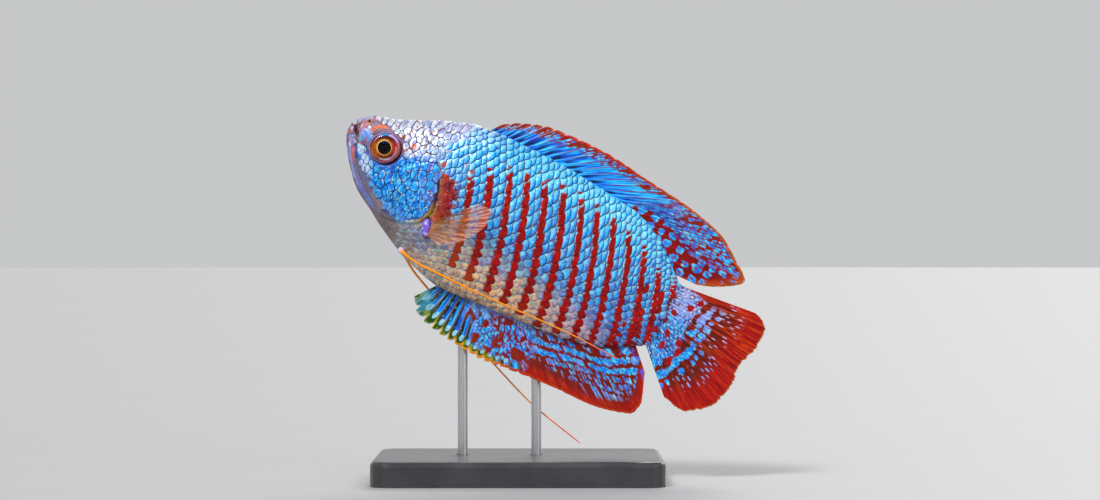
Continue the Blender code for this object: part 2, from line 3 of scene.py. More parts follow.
import bmesh
import bpy
import numpy as np
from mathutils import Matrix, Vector


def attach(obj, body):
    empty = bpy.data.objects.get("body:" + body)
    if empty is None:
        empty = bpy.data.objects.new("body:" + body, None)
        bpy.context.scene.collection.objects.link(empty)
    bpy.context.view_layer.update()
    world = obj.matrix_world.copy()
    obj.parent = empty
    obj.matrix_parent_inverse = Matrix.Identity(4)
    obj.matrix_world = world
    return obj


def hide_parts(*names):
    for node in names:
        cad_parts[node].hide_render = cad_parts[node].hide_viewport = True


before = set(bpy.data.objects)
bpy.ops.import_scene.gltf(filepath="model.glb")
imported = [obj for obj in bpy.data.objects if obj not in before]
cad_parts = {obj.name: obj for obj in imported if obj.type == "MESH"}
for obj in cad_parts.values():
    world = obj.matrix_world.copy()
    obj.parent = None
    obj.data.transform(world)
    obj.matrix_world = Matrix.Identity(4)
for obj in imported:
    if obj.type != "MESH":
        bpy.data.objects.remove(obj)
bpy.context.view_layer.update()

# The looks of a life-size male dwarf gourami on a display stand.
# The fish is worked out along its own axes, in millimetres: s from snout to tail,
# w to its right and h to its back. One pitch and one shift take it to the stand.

MM = 0.001
PITCH = math.radians(29.15)
SNOUT_X = -33.3
SNOUT_Z = 54.4

# The body's stations: s, back, belly, half width, level of the greatest width, half width of its ridges
NOSE_S = -0.9
NOSE_ROUNDING = 1.1
TAIL_S = 57.5
BODY = (
    (-0.9, 3.1, 0.2, 1.00, 1.7, 0.15),
    (0.0, 4.05, -0.7, 1.45, 1.5, 0.20),
    (2.0, 5.55, -3.2, 2.30, 1.2, 0.30),
    (5.3, 6.8, -6.35, 3.55, 0.8, 0.40),
    (8.2, 8.3, -7.85, 4.15, 0.4, 0.50),
    (11.3, 9.95, -9.55, 4.55, 0.1, 0.50),
    (18.7, 12.6, -12.65, 4.75, 0.0, 0.50),
    (24.0, 13.1, -13.6, 4.60, 0.0, 0.50),
    (32.0, 13.3, -12.75, 4.00, 0.1, 0.50),
    (45.0, 12.7, -11.2, 2.60, 0.4, 0.50),
    (50.0, 11.1, -9.9, 2.10, 0.4, 0.50),
    (54.0, 8.6, -8.0, 1.70, 0.3, 0.50),
    (57.5, 5.9, -5.6, 1.25, 0.2, 0.50),
)
SECTION_POWER = 1.1
COAT = 0.16  # how deep the skin lies below the solids where scales cover it
BARE = 0.02

EYE = (6.15, 1.70)
EYE_W = 2.85
EYE_RADIUS = 2.6
EYE_DEPTH = 1.4
PUPIL = 1.07
MOUTH = ((-0.50, 3.15), (-0.03, 2.72), (0.30, 2.05), (0.73, 1.68), (1.20, 1.00), (1.60, 0.50))
LOWER_LIP = ((-0.10, 1.90), (0.19, 1.40), (0.58, 1.02), (1.14, 0.68), (1.49, 0.55))
UPPER_LIP = ((0.62, 4.70), (0.62, 4.00), (0.52, 3.40), (0.66, 2.80), (0.90, 2.10), (1.15, 1.30))
NOSTRIL = (1.63, 4.25)
GILL_EDGE = ((13.4, 4.6), (14.5, 3.5), (16.3, 0.4), (17.3, -3.2), (16.6, -5.6), (14.3, -7.1), (10.8, -7.8), (7.2, -7.5))
JAW_FOLD = ((1.75, 0.40), (2.1, -1.2), (3.3, -3.2), (5.2, -4.9), (7.6, -6.4), (10.2, -7.3))

# Scales stand in columns. These are the places of the bars, with three columns to a bar
BARS = (18.3, 21.4, 24.6, 28.1, 31.2, 34.4, 37.7, 41.0, 43.9, 46.8, 49.75, 52.6, 55.4, 58.2, 61.0)
COLUMN_LEAN = 0.33
COLUMN_BEND = 0.01
COLUMN_SHIFT = 0.55  # from the middle of a bar to the roots of its scales
COLUMN_SHARES = (0.0, 0.30, 0.60)  # places of a bar's three columns: the first is the widest, and red
NAPE_PITCH = 1.05
NAPE_COLUMNS = 6
# Place of a bar, then the heights at which it fades at its top and its foot
BAR_ENDS = (
    (18.3, 4.0, -4.5),
    (21.4, 5.6, -9.4),
    (24.6, 8.0, -10.3),
    (28.1, 9.6, -10.6),
    (34.4, 10.9, -11.2),
    (41.0, 11.2, -13.0),
    (49.75, 10.4, -13.0),
    (55.4, 7.6, -13.0),
    (61.0, 6.0, -13.0),
)


def rgb(r, g, b):
    """A colour given as it looks on a screen, in linear light."""
    c = np.array([r, g, b]) / 255
    return np.where(c <= 0.04045, c / 12.92, ((c + 0.055) / 1.055) ** 2.4)


WHITE = rgb(240, 246, 255)
LILAC_WHITE = rgb(206, 204, 248)
LILAC = rgb(160, 142, 212)
ICE = rgb(150, 238, 255)
CYAN = rgb(60, 206, 255)
SKY = rgb(52, 156, 242)
AZURE = rgb(4, 136, 246)
DEEP_BLUE = rgb(8, 78, 200)
NAVY = rgb(8, 24, 84)
LAVENDER = rgb(122, 128, 212)
GREY_BLUE = rgb(112, 130, 170)
BEIGE = rgb(226, 188, 138)
GREY_GREEN = rgb(162, 162, 156)
GREY_BEIGE = rgb(144, 134, 134)
TAN = rgb(190, 120, 56)
PLUM = rgb(106, 44, 76)
RED = rgb(168, 2, 0)
DARK_RED = rgb(116, 0, 2)
ORANGE = rgb(226, 104, 4)
RUST = rgb(160, 52, 8)
OLIVE = rgb(160, 124, 34)
PINK = rgb(196, 122, 142)
BLACK = rgb(8, 7, 10)


def smooth(low, high, x):
    """0 at low and 1 at high, with a soft step between them."""
    t = np.clip((x - low) / (high - low), 0, 1)
    return t * t * (3 - 2 * t)


def mix(a, b, t):
    """Colours from a to b as t goes from 0 to 1."""
    t = np.clip(np.asarray(t, float), 0, 1)[..., None]
    return a * (1 - t) + b * t


def hashed(x, y, seed):
    """A repeatable number from 0 to 1 for each pair of whole numbers."""
    n = np.sin(x * 127.1 + y * 311.7 + seed * 74.7) * 43758.5453
    return n - np.floor(n)


def noise(x, y, seed=0.0):
    """Smooth noise from 0 to 1, about one bump to a unit."""
    ix, iy = np.floor(x), np.floor(y)
    fx, fy = x - ix, y - iy
    fx, fy = fx * fx * (3 - 2 * fx), fy * fy * (3 - 2 * fy)
    low = hashed(ix, iy, seed) * (1 - fx) + hashed(ix + 1, iy, seed) * fx
    high = hashed(ix, iy + 1, seed) * (1 - fx) + hashed(ix + 1, iy + 1, seed) * fx
    return low * (1 - fy) + high * fy


def spots(a, b, seed, size_a, size_b, chance, jitter=0.5, ragged=0.0):
    """Crisp spots, up to one in each square of a and b: over 0 inside, up to 1, and 0 outside."""
    if ragged:
        a = a + ragged * (noise(a * 3.1, b * 3.1, seed + 5) - 0.5)
        b = b + ragged * (noise(a * 3.1, b * 3.1, seed + 6) - 0.5)
    ia, ib = np.floor(a), np.floor(b)
    found = np.zeros(np.shape(a))
    for da in (-1, 0, 1):
        for db in (-1, 0, 1):
            ka, kb = ia + da, ib + db
            ca = ka + 0.5 + jitter * (hashed(ka, kb, seed) - 0.5)
            cb = kb + 0.5 + jitter * (hashed(ka, kb, seed + 1) - 0.5)
            grow = 0.75 + 0.5 * hashed(ka, kb, seed + 2)
            away = (np.abs(a - ca) / (size_a * grow)) ** 3 + (np.abs(b - cb) / (size_b * grow)) ** 3
            there = hashed(ka, kb, seed + 3) < chance
            found = np.maximum(found, (1 - smooth(0.72, 1.25, away)) * there)
    return found


def curve(table, x):
    """The other columns of a table at each x, on smooth curves through its rows."""
    rows = np.array(table, float)
    xs = rows[:, 0]
    x = np.clip(x, xs[0], xs[-1])
    k = np.clip(np.searchsorted(xs, x, side="right") - 1, 0, len(xs) - 2)
    span = xs[k + 1] - xs[k]
    t = (x - xs[k]) / span
    found = []
    for ys in rows[:, 1:].T:
        step = np.diff(ys) / np.diff(xs)
        pairs = step[:-1] * step[1:]
        total = np.where(pairs > 0, step[:-1] + step[1:], 1.0)
        m = np.concatenate(([step[0]], np.where(pairs > 0, 2 * pairs / total, 0.0), [step[-1]]))
        found.append(
            (1 + 2 * t) * (1 - t) ** 2 * ys[k]
            + t * (1 - t) ** 2 * span * m[k]
            + t * t * (3 - 2 * t) * ys[k + 1]
            + t * t * (t - 1) * span * m[k + 1]
        )
    return found


def spline(points, count):
    """Evenly numbered points on a smooth curve through the given ones."""
    points = np.array(points, float)
    ends = np.vstack((points[0] * 2 - points[1], points, points[-1] * 2 - points[-2]))
    x = np.linspace(0, len(points) - 1, count)
    k = np.minimum(x.astype(int), len(points) - 2)
    t = (x - k)[:, None]
    a, b, c, d = ends[k], ends[k + 1], ends[k + 2], ends[k + 3]
    return 0.5 * (2 * b + (c - a) * t + (2 * a - 5 * b + 4 * c - d) * t**2 + (3 * b - a - 3 * c + d) * t**3)


def line_field(s, h, line, count=60):
    """Distance from a smooth line, signed place beside it and place along it from 0 to 1."""
    points = spline(line, count) if len(line) > 2 else np.array(line, float)
    best = np.full(np.shape(s), 1e9)
    side = np.zeros(np.shape(s))
    along = np.zeros(np.shape(s))
    for i, (a, b) in enumerate(zip(points[:-1], points[1:])):
        ab = b - a
        t = np.clip(((s - a[0]) * ab[0] + (h - a[1]) * ab[1]) / (ab @ ab), 0, 1)
        ds, dh = s - a[0] - ab[0] * t, h - a[1] - ab[1] * t
        away = np.hypot(ds, dh)
        nearer = away < best
        best = np.where(nearer, away, best)
        side = np.where(nearer, np.sign(ab[1] * (s - a[0]) - ab[0] * (h - a[1])), side)
        along = np.where(nearer, (i + t) / (len(points) - 1), along)
    return best, side, along


def inside(s, h, outline):
    """True where a point lies inside an outline."""
    found = np.zeros(np.shape(s), bool)
    for (s1, h1), (s2, h2) in zip(outline, outline[1:] + outline[:1]):
        crosses = (h1 > h) != (h2 > h)
        rise = h2 - h1 if h2 != h1 else 1e-9
        found ^= crosses & (s < (s2 - s1) * (h - h1) / rise + s1)
    return found


def section(s):
    """Back, belly, half width, level of the greatest width and ridge at s, rounded off at the nose."""
    back, belly, half, level, ridge = curve(BODY, s)
    t = np.clip((s - NOSE_S) / NOSE_ROUNDING, 0, 1)
    f = np.sqrt(np.maximum(1 - (1 - t) ** 2, 0))
    return level + (back - level) * f, level + (belly - level) * f, half * f, level, ridge * f


def flank(s, h):
    """Half width of the body at s and h."""
    back, belly, half, level, ridge = section(s)
    reach = np.where(h > level, back - level, level - belly)
    x = np.clip(np.abs(h - level) / reach, 0, 1)
    return ridge + (half - ridge) * (1 - x * x) ** (SECTION_POWER / 2)


def unrolled():
    """w and h for each s and each distance up the flank from the level line, over both ridges."""
    stations = np.arange(NOSE_S + 0.02, TAIL_S + 0.3, 0.25)
    up = np.arange(-24, 24.01, 0.1)
    angles = np.radians(np.linspace(-90, 90, 121))
    ws, hs = [], []
    for s in stations:
        back, belly, half, level, ridge = (float(v) for v in section(np.array(s)))
        reach = np.where(angles > 0, back - level, level - belly)
        w = ridge + (half - ridge) * np.maximum(np.cos(angles), 0) ** SECTION_POWER
        h = level + reach * np.sin(angles)
        below, above = slice(60, None, -1), slice(None, 59, -1)
        w = np.concatenate((-w[below], w, -w[above]))
        h = np.concatenate((h[below], h, h[above]))
        arc = np.concatenate(([0], np.cumsum(np.hypot(np.diff(w), np.diff(h)))))
        arc -= arc[61 + 60]
        ws.append(np.interp(up, arc, w))
        hs.append(np.interp(up, arc, h))
    return stations, up, np.array(ws), np.array(hs)


STATIONS, UP, TABLE_W, TABLE_H = unrolled()


def on_body(s, y):
    """w and h of points given by s and their distance up the flank."""
    i = np.clip((s - STATIONS[0]) / (STATIONS[1] - STATIONS[0]), 0, len(STATIONS) - 1.001)
    j = np.clip((y - UP[0]) / (UP[1] - UP[0]), 0, len(UP) - 1.001)
    i0, j0 = i.astype(int), j.astype(int)
    fi, fj = i - i0, j - j0
    found = []
    for table in (TABLE_W, TABLE_H):
        low = table[i0, j0] * (1 - fj) + table[i0, j0 + 1] * fj
        high = table[i0 + 1, j0] * (1 - fj) + table[i0 + 1, j0 + 1] * fj
        found.append(low * (1 - fi) + high * fi)
    return found


def up_at(s, h):
    """Distance up the flank of single points given by s and h, and how fast it grows with h."""
    found, rates = [], []
    middle = len(UP) // 2
    for one_s, one_h in zip(np.ravel(s), np.ravel(h)):
        k = int(np.clip(round((one_s - STATIONS[0]) / 0.25), 0, len(STATIONS) - 1))
        row = TABLE_H[k]
        top, foot = int(np.argmax(row)), int(np.argmin(row))
        y = np.interp(one_h, row[foot : top + 1], UP[foot : top + 1])
        j = int(np.clip(round((y - UP[0]) / 0.1), foot + 2, top - 2))
        found.append(y)
        rates.append(min(0.2 / max(row[j + 1] - row[j - 1], 1e-3), 2.2))
    return np.array(found), np.array(rates)


def body_frame(s, y):
    """Points on the right side of the body and their outward normals."""
    step = 0.12
    w, h = on_body(s, y)
    w1, h1 = on_body(s + step, y)
    w0, h0 = on_body(s - step, y)
    w3, h3 = on_body(s, y + step)
    w2, h2 = on_body(s, y - step)
    ws, hs, wy, hy = ((b - a) / (2 * step) for a, b in ((w0, w1), (h0, h1), (w2, w3), (h2, h3)))
    normal = np.stack((hs * wy - ws * hy, hy, -wy), axis=-1)
    normal /= np.linalg.norm(normal, axis=-1, keepdims=True)
    return np.stack((s, w, h), axis=-1), normal


def sculpt(s, h):
    """How far the surface stands out: lips and mouth, orbit, nostril, jaw fold and gill cover."""
    mouth, side, along = line_field(s, h, MOUTH)
    open_part = smooth(1.0, 0.45, along)
    height = 0.20 * np.exp(-(((mouth - 0.50) / 0.34) ** 2)) * (0.4 + 0.6 * open_part)
    height -= (0.12 + 0.44 * open_part) * np.exp(-((mouth / 0.24) ** 2))
    height -= 0.10 * np.exp(-((line_field(s, h, LOWER_LIP)[0] / 0.17) ** 2))
    height -= 0.12 * np.exp(-((line_field(s, h, UPPER_LIP)[0] / 0.18) ** 2))
    from_eye = np.hypot(s - EYE[0], h - EYE[1])
    height += 0.20 * np.exp(-(((from_eye - 3.0) / 0.42) ** 2)) - 1.3 * smooth(2.75, 2.2, from_eye)
    from_nostril = np.hypot(s - NOSTRIL[0], (h - NOSTRIL[1]) * 0.8)
    height += 0.16 * np.exp(-((from_nostril / 0.50) ** 2)) - 0.42 * np.exp(-((from_nostril / 0.20) ** 2))
    fold, side, along = line_field(s, h, JAW_FOLD)
    height -= 0.13 * np.exp(-((fold / 0.22) ** 2)) * smooth(0, 0.08, along) * smooth(1.0, 0.8, along)
    edge, side, along = line_field(s, h, GILL_EDGE)
    ends = smooth(0.0, 0.18, along) * smooth(1.0, 0.72, along)
    ahead = edge * np.where(side < 0, -1, 1)
    cover = np.exp(-np.maximum(ahead, 0) / 2.6) * smooth(-0.22, 0.05, ahead)
    groove = np.exp(-(((ahead + 0.45) / 0.3) ** 2))
    near = (s < 18.5) & (h < 5.5)
    height += (0.30 * cover - 0.16 * groove) * ends * near
    bare = smooth(4.6, 3.4, s) * smooth(0.18, 0.4, mouth)
    crinkles = 0.09 * noise(s * 2.3, h * 2.3, 22.0) + 0.05 * noise(s * 4.6, h * 4.6, 23.0)
    return height + bare * (crinkles - 0.07)


# Outline of the mosaic of plates on the cheek, the gill cover and the nape
MOSAIC = (
    (3.3, -0.2),
    (2.3, 0.3),
    (2.1, -0.6),
    (3.0, -1.5),
    (4.0, -2.7),
    (5.5, -4.0),
    (7.5, -5.1),
    (9.8, -6.2),
    (12.0, -7.0),
    (14.0, -6.9),
    (15.9, -5.6),
    (17.1, -3.3),
    (16.7, -0.8),
    (16.0, 1.1),
    (15.2, 3.1),
    (14.9, 5.0),
    (15.2, 7.5),
    (16.2, 9.5),
    (17.2, 13.0),
    (11.3, 10.7),
    (8.2, 9.0),
    (5.3, 7.5),
    (3.2, 6.4),
    (4.0, 5.2),
    (5.4, 4.75),
    (6.5, 4.65),
    (7.8, 4.0),
    (8.5, 3.2),
    (8.9, 1.9),
    (8.65, 0.5),
    (7.9, -0.4),
    (6.5, -1.05),
    (5.0, -0.9),
    (4.3, -0.35),
)
MOSAIC_STRETCH = 0.70  # width of its plates over their height


def mosaic_depth(s, h):
    """Distance inside the mosaic of plates, negative outside it."""
    away = line_field(s, h, MOSAIC + MOSAIC[:1], 140)[0]
    return np.where(inside(s, h, MOSAIC), away, -away)


def over_eye(s, h):
    """Height above the line behind the eye where the plates turn from azure to white."""
    return h - 1.7 - 0.42 * (s - 8.2)


def scaled(s, h):
    """1 where scales cover the skin and 0 where it is bare."""
    mosaic = smooth(-1.0, -0.4, mosaic_depth(s, h))
    return np.maximum(smooth(13.5, 16.5, s), mosaic)


# Marks on the bare skin of the head: colour, half width, strength, then points along each
HEAD_MARKS = (
    (rgb(206, 206, 240), 0.50, 0.55, ((0.3, 3.9), (0.9, 4.6), (1.6, 4.9))),
    (rgb(196, 112, 148), 0.42, 0.75, ((1.15, 3.5), (1.25, 2.9))),
    (PINK, 0.45, 0.6, ((1.5, 3.2), (2.4, 3.3), (3.2, 4.3))),
    (rgb(222, 120, 70), 0.35, 0.9, ((2.8, 3.4), (3.3, 4.1), (4.0, 4.7))),
    (rgb(198, 96, 30), 0.24, 0.95, ((2.95, 3.6), (3.2, 4.1))),
    (rgb(232, 120, 70), 0.20, 0.9, ((3.6, 4.2), (4.5, 4.7), (5.9, 5.25), (7.2, 5.05))),
    (rgb(232, 120, 70), 0.16, 0.8, ((7.2, 5.05), (8.4, 4.3))),
    (rgb(226, 222, 250), 0.30, 0.9, ((2.4, 5.35), (2.9, 5.25))),
    (rgb(122, 34, 52), 0.13, 0.9, ((2.68, 5.0), (2.95, 4.85))),
    (rgb(206, 96, 104), 0.16, 0.9, ((2.1, 5.0), (2.35, 4.85))),
    (rgb(218, 228, 252), 0.18, 0.95, ((2.03, 3.50), (2.14, 3.38))),
    (rgb(86, 150, 236), 0.55, 0.95, ((1.75, 2.30), (2.35, 2.05), (3.0, 1.70))),
    (rgb(120, 170, 244), 0.32, 0.9, ((2.2, 2.85), (2.75, 2.5), (3.2, 2.2))),
    (rgb(70, 186, 244), 0.30, 0.9, ((1.68, 1.40), (1.85, 1.05))),
    (rgb(150, 46, 86), 0.13, 0.9, ((2.43, 1.81), (2.66, 1.5), (2.84, 1.15))),
    (rgb(190, 40, 40), 0.09, 0.9, ((1.40, 2.50), (1.56, 2.30))),
    (rgb(176, 130, 110), 0.14, 0.8, ((0.84, 2.32), (1.13, 1.55), (1.35, 0.74))),
    (rgb(166, 156, 196), 0.20, 0.7, ((0.70, 1.45), (0.88, 1.20))),
    (rgb(228, 116, 36), 0.20, 0.95, ((1.85, 0.60), (2.02, 0.50))),
    (rgb(176, 110, 100), 0.09, 0.9, ((2.1, 0.66), (2.6, 0.76), (3.3, 0.74), (3.7, 0.3))),
    (rgb(186, 226, 250), 0.34, 0.95, ((2.1, 0.05), (2.6, 0.08), (3.1, -0.08))),
    (rgb(228, 238, 255), 0.36, 0.95, ((2.5, -0.5), (3.3, -0.85), (4.2, -1.0))),
    (rgb(54, 130, 236), 0.14, 0.8, ((2.2, -0.7), (3.0, -1.4), (3.9, -1.8))),
    (PINK, 0.42, 0.7, ((1.4, -0.8), (2.0, -2.0), (2.6, -2.6))),
    (rgb(214, 104, 92), 0.30, 0.8, ((1.5, -1.0), (1.95, -1.9))),
    (rgb(214, 100, 140), 0.12, 0.85, ((1.27, -0.89), (1.63, -0.36))),
    (rgb(112, 106, 122), 0.80, 0.85, ((3.2, -2.4), (5.2, -4.0), (7.2, -5.3), (9.4, -6.6))),
    (rgb(150, 132, 128), 0.50, 0.6, ((8.0, -5.6), (9.8, -6.6))),
    (rgb(104, 140, 236), 0.18, 0.95, ((0.1, -0.5), (0.8, -1.35), (1.6, -2.2), (3.6, -4.15), (5.4, -5.65), (8.8, -7.45))),
    (rgb(186, 190, 246), 0.10, 0.8, ((0.45, 0.1), (1.2, -1.4), (2.9, -3.6), (4.9, -5.4))),
    (rgb(96, 134, 232), 0.10, 0.7, ((4.2, -4.1), (6.2, -5.7), (8.4, -6.6))),
    (rgb(236, 202, 216), 0.22, 0.9, ((-0.36, 2.02), (-0.28, 1.90))),
    (rgb(190, 110, 56), 0.20, 0.85, ((-0.55, 1.52), (-0.03, 1.36))),
    (rgb(60, 186, 240), 0.12, 0.95, ((0.02, 0.88), (0.40, 0.86))),
    (rgb(180, 172, 240), 0.24, 0.8, ((0.15, 0.45), (0.42, 0.28))),
    (rgb(136, 80, 136), 0.15, 0.7, ((-0.61, 1.05), (0.0, 0.1), (0.43, -0.71))),
    (rgb(200, 216, 252), 0.09, 0.95, ((0.75, 0.64), (1.1, 0.42), (1.44, 0.32))),
    (rgb(236, 242, 255), 0.11, 0.95, ((0.41, -0.25), (0.90, -0.63))),
    (rgb(120, 84, 84), 0.18, 0.9, ((0.28, 3.05), (0.40, 2.54), (0.63, 2.05), (0.85, 1.70))),
    (rgb(146, 152, 214), 0.17, 0.95, ((-0.26, 3.02), (-0.30, 3.43), (-0.19, 3.88), (0.12, 4.22), (0.48, 4.40))),
    (rgb(140, 164, 226), 0.17, 0.95, ((-1.0, 1.25), (-1.1, 1.96), (-0.98, 2.50), (-0.74, 2.85), (-0.40, 2.86))),
    (rgb(130, 30, 34), 0.12, 0.9, ((-0.64, 2.66), (-0.48, 2.42))),
    (rgb(222, 132, 112), 0.10, 0.85, ((0.84, 3.99), (0.70, 3.41), (0.86, 2.87))),
    (rgb(96, 60, 86), 0.08, 0.85, UPPER_LIP),
    (rgb(96, 62, 88), 0.07, 0.8, LOWER_LIP),
    # The mouth's dark gap and closed line: the dark inside of the mouth, and painted shade in its groove
    (rgb(112, 56, 50), 0.34, 0.9, MOUTH[:4]),
    (rgb(44, 18, 18), 0.17, 1.0, MOUTH[:4]),
    (rgb(92, 56, 78), 0.08, 0.9, MOUTH[3:]),
    (rgb(226, 128, 36), 0.34, 0.95, ((1.60, 4.00), (1.66, 4.38))),
    # The nostril's dark hole: painted shade in its pit
    (rgb(24, 12, 12), 0.20, 1.0, ((1.56, 4.42), (1.62, 4.20))),
    (rgb(244, 240, 250), 0.07, 1.0, ((1.70, 4.00), (1.74, 3.96))),
)
# Orange and brown freckles of the nape: s, h, radius
FRECKLES = (
    (7.75, 4.7, 0.30),
    (9.95, 4.25, 0.42),
    (8.4, 6.15, 0.20),
    (10.1, 6.85, 0.16),
    (11.3, 7.45, 0.20),
    (11.6, 4.95, 0.18),
    (9.2, 3.15, 0.20),
    (5.8, 5.7, 0.14),
    (8.8, 7.2, 0.14),
    (15.5, 4.0, 0.42),
    (20.0, 5.15, 0.35),
    (18.7, 5.6, 0.2),
)
# Painted shade along the dark creases between the plates of the cheek
CREASES = (
    ((9.55, 0.4), (9.7, -1.1), (10.45, -2.5)),
    ((11.8, -2.0), (12.2, -4.4)),
    ((11.9, -4.7), (11.8, -5.8)),
    ((10.5, -3.0), (10.6, -4.8), (11.7, -6.0)),
    ((12.35, 3.3), (12.5, 1.2), (12.4, -0.4)),
    ((13.7, 4.1), (13.8, 2.4), (14.4, 0.4)),
    ((4.5, -2.4), (5.1, -3.0), (6.3, -3.6)),
)


def stroked(tone, s, h, marks):
    """Paints soft strokes along smooth lines over a tone."""
    for colour, width, strength, points in marks:
        low = np.min(points, axis=0) - 3 * width
        high = np.max(points, axis=0) + 3 * width
        near = np.nonzero((s > low[0]) & (s < high[0]) & (h > low[1]) & (h < high[1]))[0]
        if len(near):
            wobble = 0.25 * width * (noise(s[near] * 3, h[near] * 3, 5.0) - 0.5)
            away = line_field(s[near] + wobble, h[near] - wobble, points, 24)[0]
            cover = strength * (0.50 + 0.75 * noise(s[near] * 4.5, h[near] * 4.5, 6.0))
            tone[near] = mix(tone[near], colour, cover * smooth(1.35 * width, 0.55 * width, away))
    return tone


def column_place(s, h):
    """Place across the columns of scales, which stand almost upright."""
    return s + COLUMN_LEAN * h + COLUMN_BEND * h * h


def bar_field(s, h):
    """Distance from the middle of the nearest bar, its number, and how strong it is there."""
    q = column_place(s, h)
    bars = np.array(BARS)
    number = np.argmin(np.abs(q[..., None] - bars), axis=-1)
    top, foot = curve(BAR_ENDS, bars[number])
    return q - bars[number], number, smooth(top + 0.6, top - 4.2, h) * smooth(foot - 0.5, foot + 0.5, h)


def flank_tone(s, h):
    """Colour of a scale's face between the bars."""
    back = section(s)[0]
    depth = back - h
    tone = mix(SKY, rgb(24, 176, 250), smooth(0.5, 6.5, h))
    tone = mix(tone, ICE, 0.55 * smooth(6.0, 2.0, depth) * smooth(22, 34, s))
    nape = smooth(5.2, 1.5, depth + 0.10 * (s - 9))
    tone = mix(tone, LILAC_WHITE, nape * smooth(26, 15, s))
    tone = mix(tone, WHITE, 0.80 * smooth(13.5, 10.5, s - 0.4 * (h - 6)) * smooth(1.0, 3.0, h))
    tone = mix(tone, LAVENDER, 0.45 * smooth(1.0, -5.0, h - 0.06 * (s - 34)))
    shore = np.interp(s, (18, 27, 36, 44, 50), (-3.9, -4.1, -5.1, -5.9, -7.2))
    rear = smooth(37, 46, s)
    tone = mix(tone, mix(GREY_GREEN, rgb(158, 150, 192), rear), 0.80 * smooth(shore + 2.8, shore + 0.6, h))
    tone = mix(tone, mix(BEIGE, rgb(200, 168, 184), rear), smooth(shore + 0.8, shore - 2.0, h))
    tone = mix(tone, GREY_BLUE, 0.8 * smooth(21.5, 18.5, s) * smooth(-5.5, -7.5, h) * smooth(-11.5, -9.0, h))
    tone = mix(tone, GREY_BEIGE, smooth(18.5, 15.0, s) * smooth(-6.5, -8.5, h))
    return mix(tone, rgb(60, 116, 206), 0.80 * smooth(47, 53, s))


def bar_tone(s, h, number):
    """Colour of the bars: red, with orange and rust on the first ones and low down."""
    tone = mix(RED, DARK_RED, 0.75 * noise(s * 1.1, h * 1.1, 2.0))
    tone = mix(tone, rgb(196, 36, 4), 0.5 * smooth(0.62, 0.9, noise(s * 2.3, h * 2.3, 4.0)))
    low = smooth(-1.0, -6.0, h) * (number == 1) + smooth(-6.5, -9.5, h) * (number == 2)
    tone = mix(tone, RUST, 0.85 * low + 0.35 * smooth(-8.5, -10.5, h) * (number > 2))
    return tone


def gill_streak(tone, s, h):
    """The plum streak, the yellow corner and the orange patch behind the gill cover."""
    edge, side, along = line_field(s, h, GILL_EDGE)
    behind = edge * np.where(side < 0, 1, -1)
    here = (s < 21) & (h < 5.0)
    up = smooth(4.8, 3.2, h) * smooth(-7.2, -5.0, h)
    ragged = noise(s * 2.4, h * 2.4, 10.0) - 0.5
    orange = smooth(0.4, 0.6, behind) * smooth(3.4, 2.9, behind + 1.6 * ragged)
    orange = orange * smooth(3.0, 2.4, h + ragged) * smooth(-5.2, -4.4, h)
    warm = mix(rgb(204, 66, 0), RED, smooth(1.5, 2.6, behind + 0.9 * noise(s * 1.5, h * 1.5, 8.0)))
    warm = mix(warm, rgb(226, 120, 6), 0.7 * smooth(0.66, 0.85, noise(s * 3.0, h * 1.8, 9.0)))
    warm = warm * (0.30 + 0.68 * noise(s * 3.4 + 0.6 * h, h * 0.9, 18.0))[..., None]
    warm = mix(warm, rgb(216, 150, 170), 0.7 * smooth(0.88, 0.94, noise(s * 5.2, h * 5.2, 19.0)))
    tone = mix(tone, warm, 0.97 * orange * here)
    plum = smooth(-0.5, -0.3, behind) * smooth(0.75, 0.35, behind) * up
    golden = smooth(0.15, 0.45, behind) * smooth(3.0, 1.0, h) * noise(s * 1.4, h * 1.4, 20.0)
    streak = mix(PLUM * 0.7, OLIVE * 0.8, golden)
    streak = mix(streak, OLIVE, smooth(-1.5, -3.5, h))
    return mix(tone, streak, 0.95 * plum * here)


def freckled(tone, s, h):
    for spot_s, spot_h, radius in FRECKLES:
        away = np.hypot(s - spot_s, (h - spot_h) * 0.8)
        tone = mix(tone, mix(RUST, ORANGE, 0.3), 0.95 * smooth(1.25 * radius, 0.7 * radius, away))
    return tone


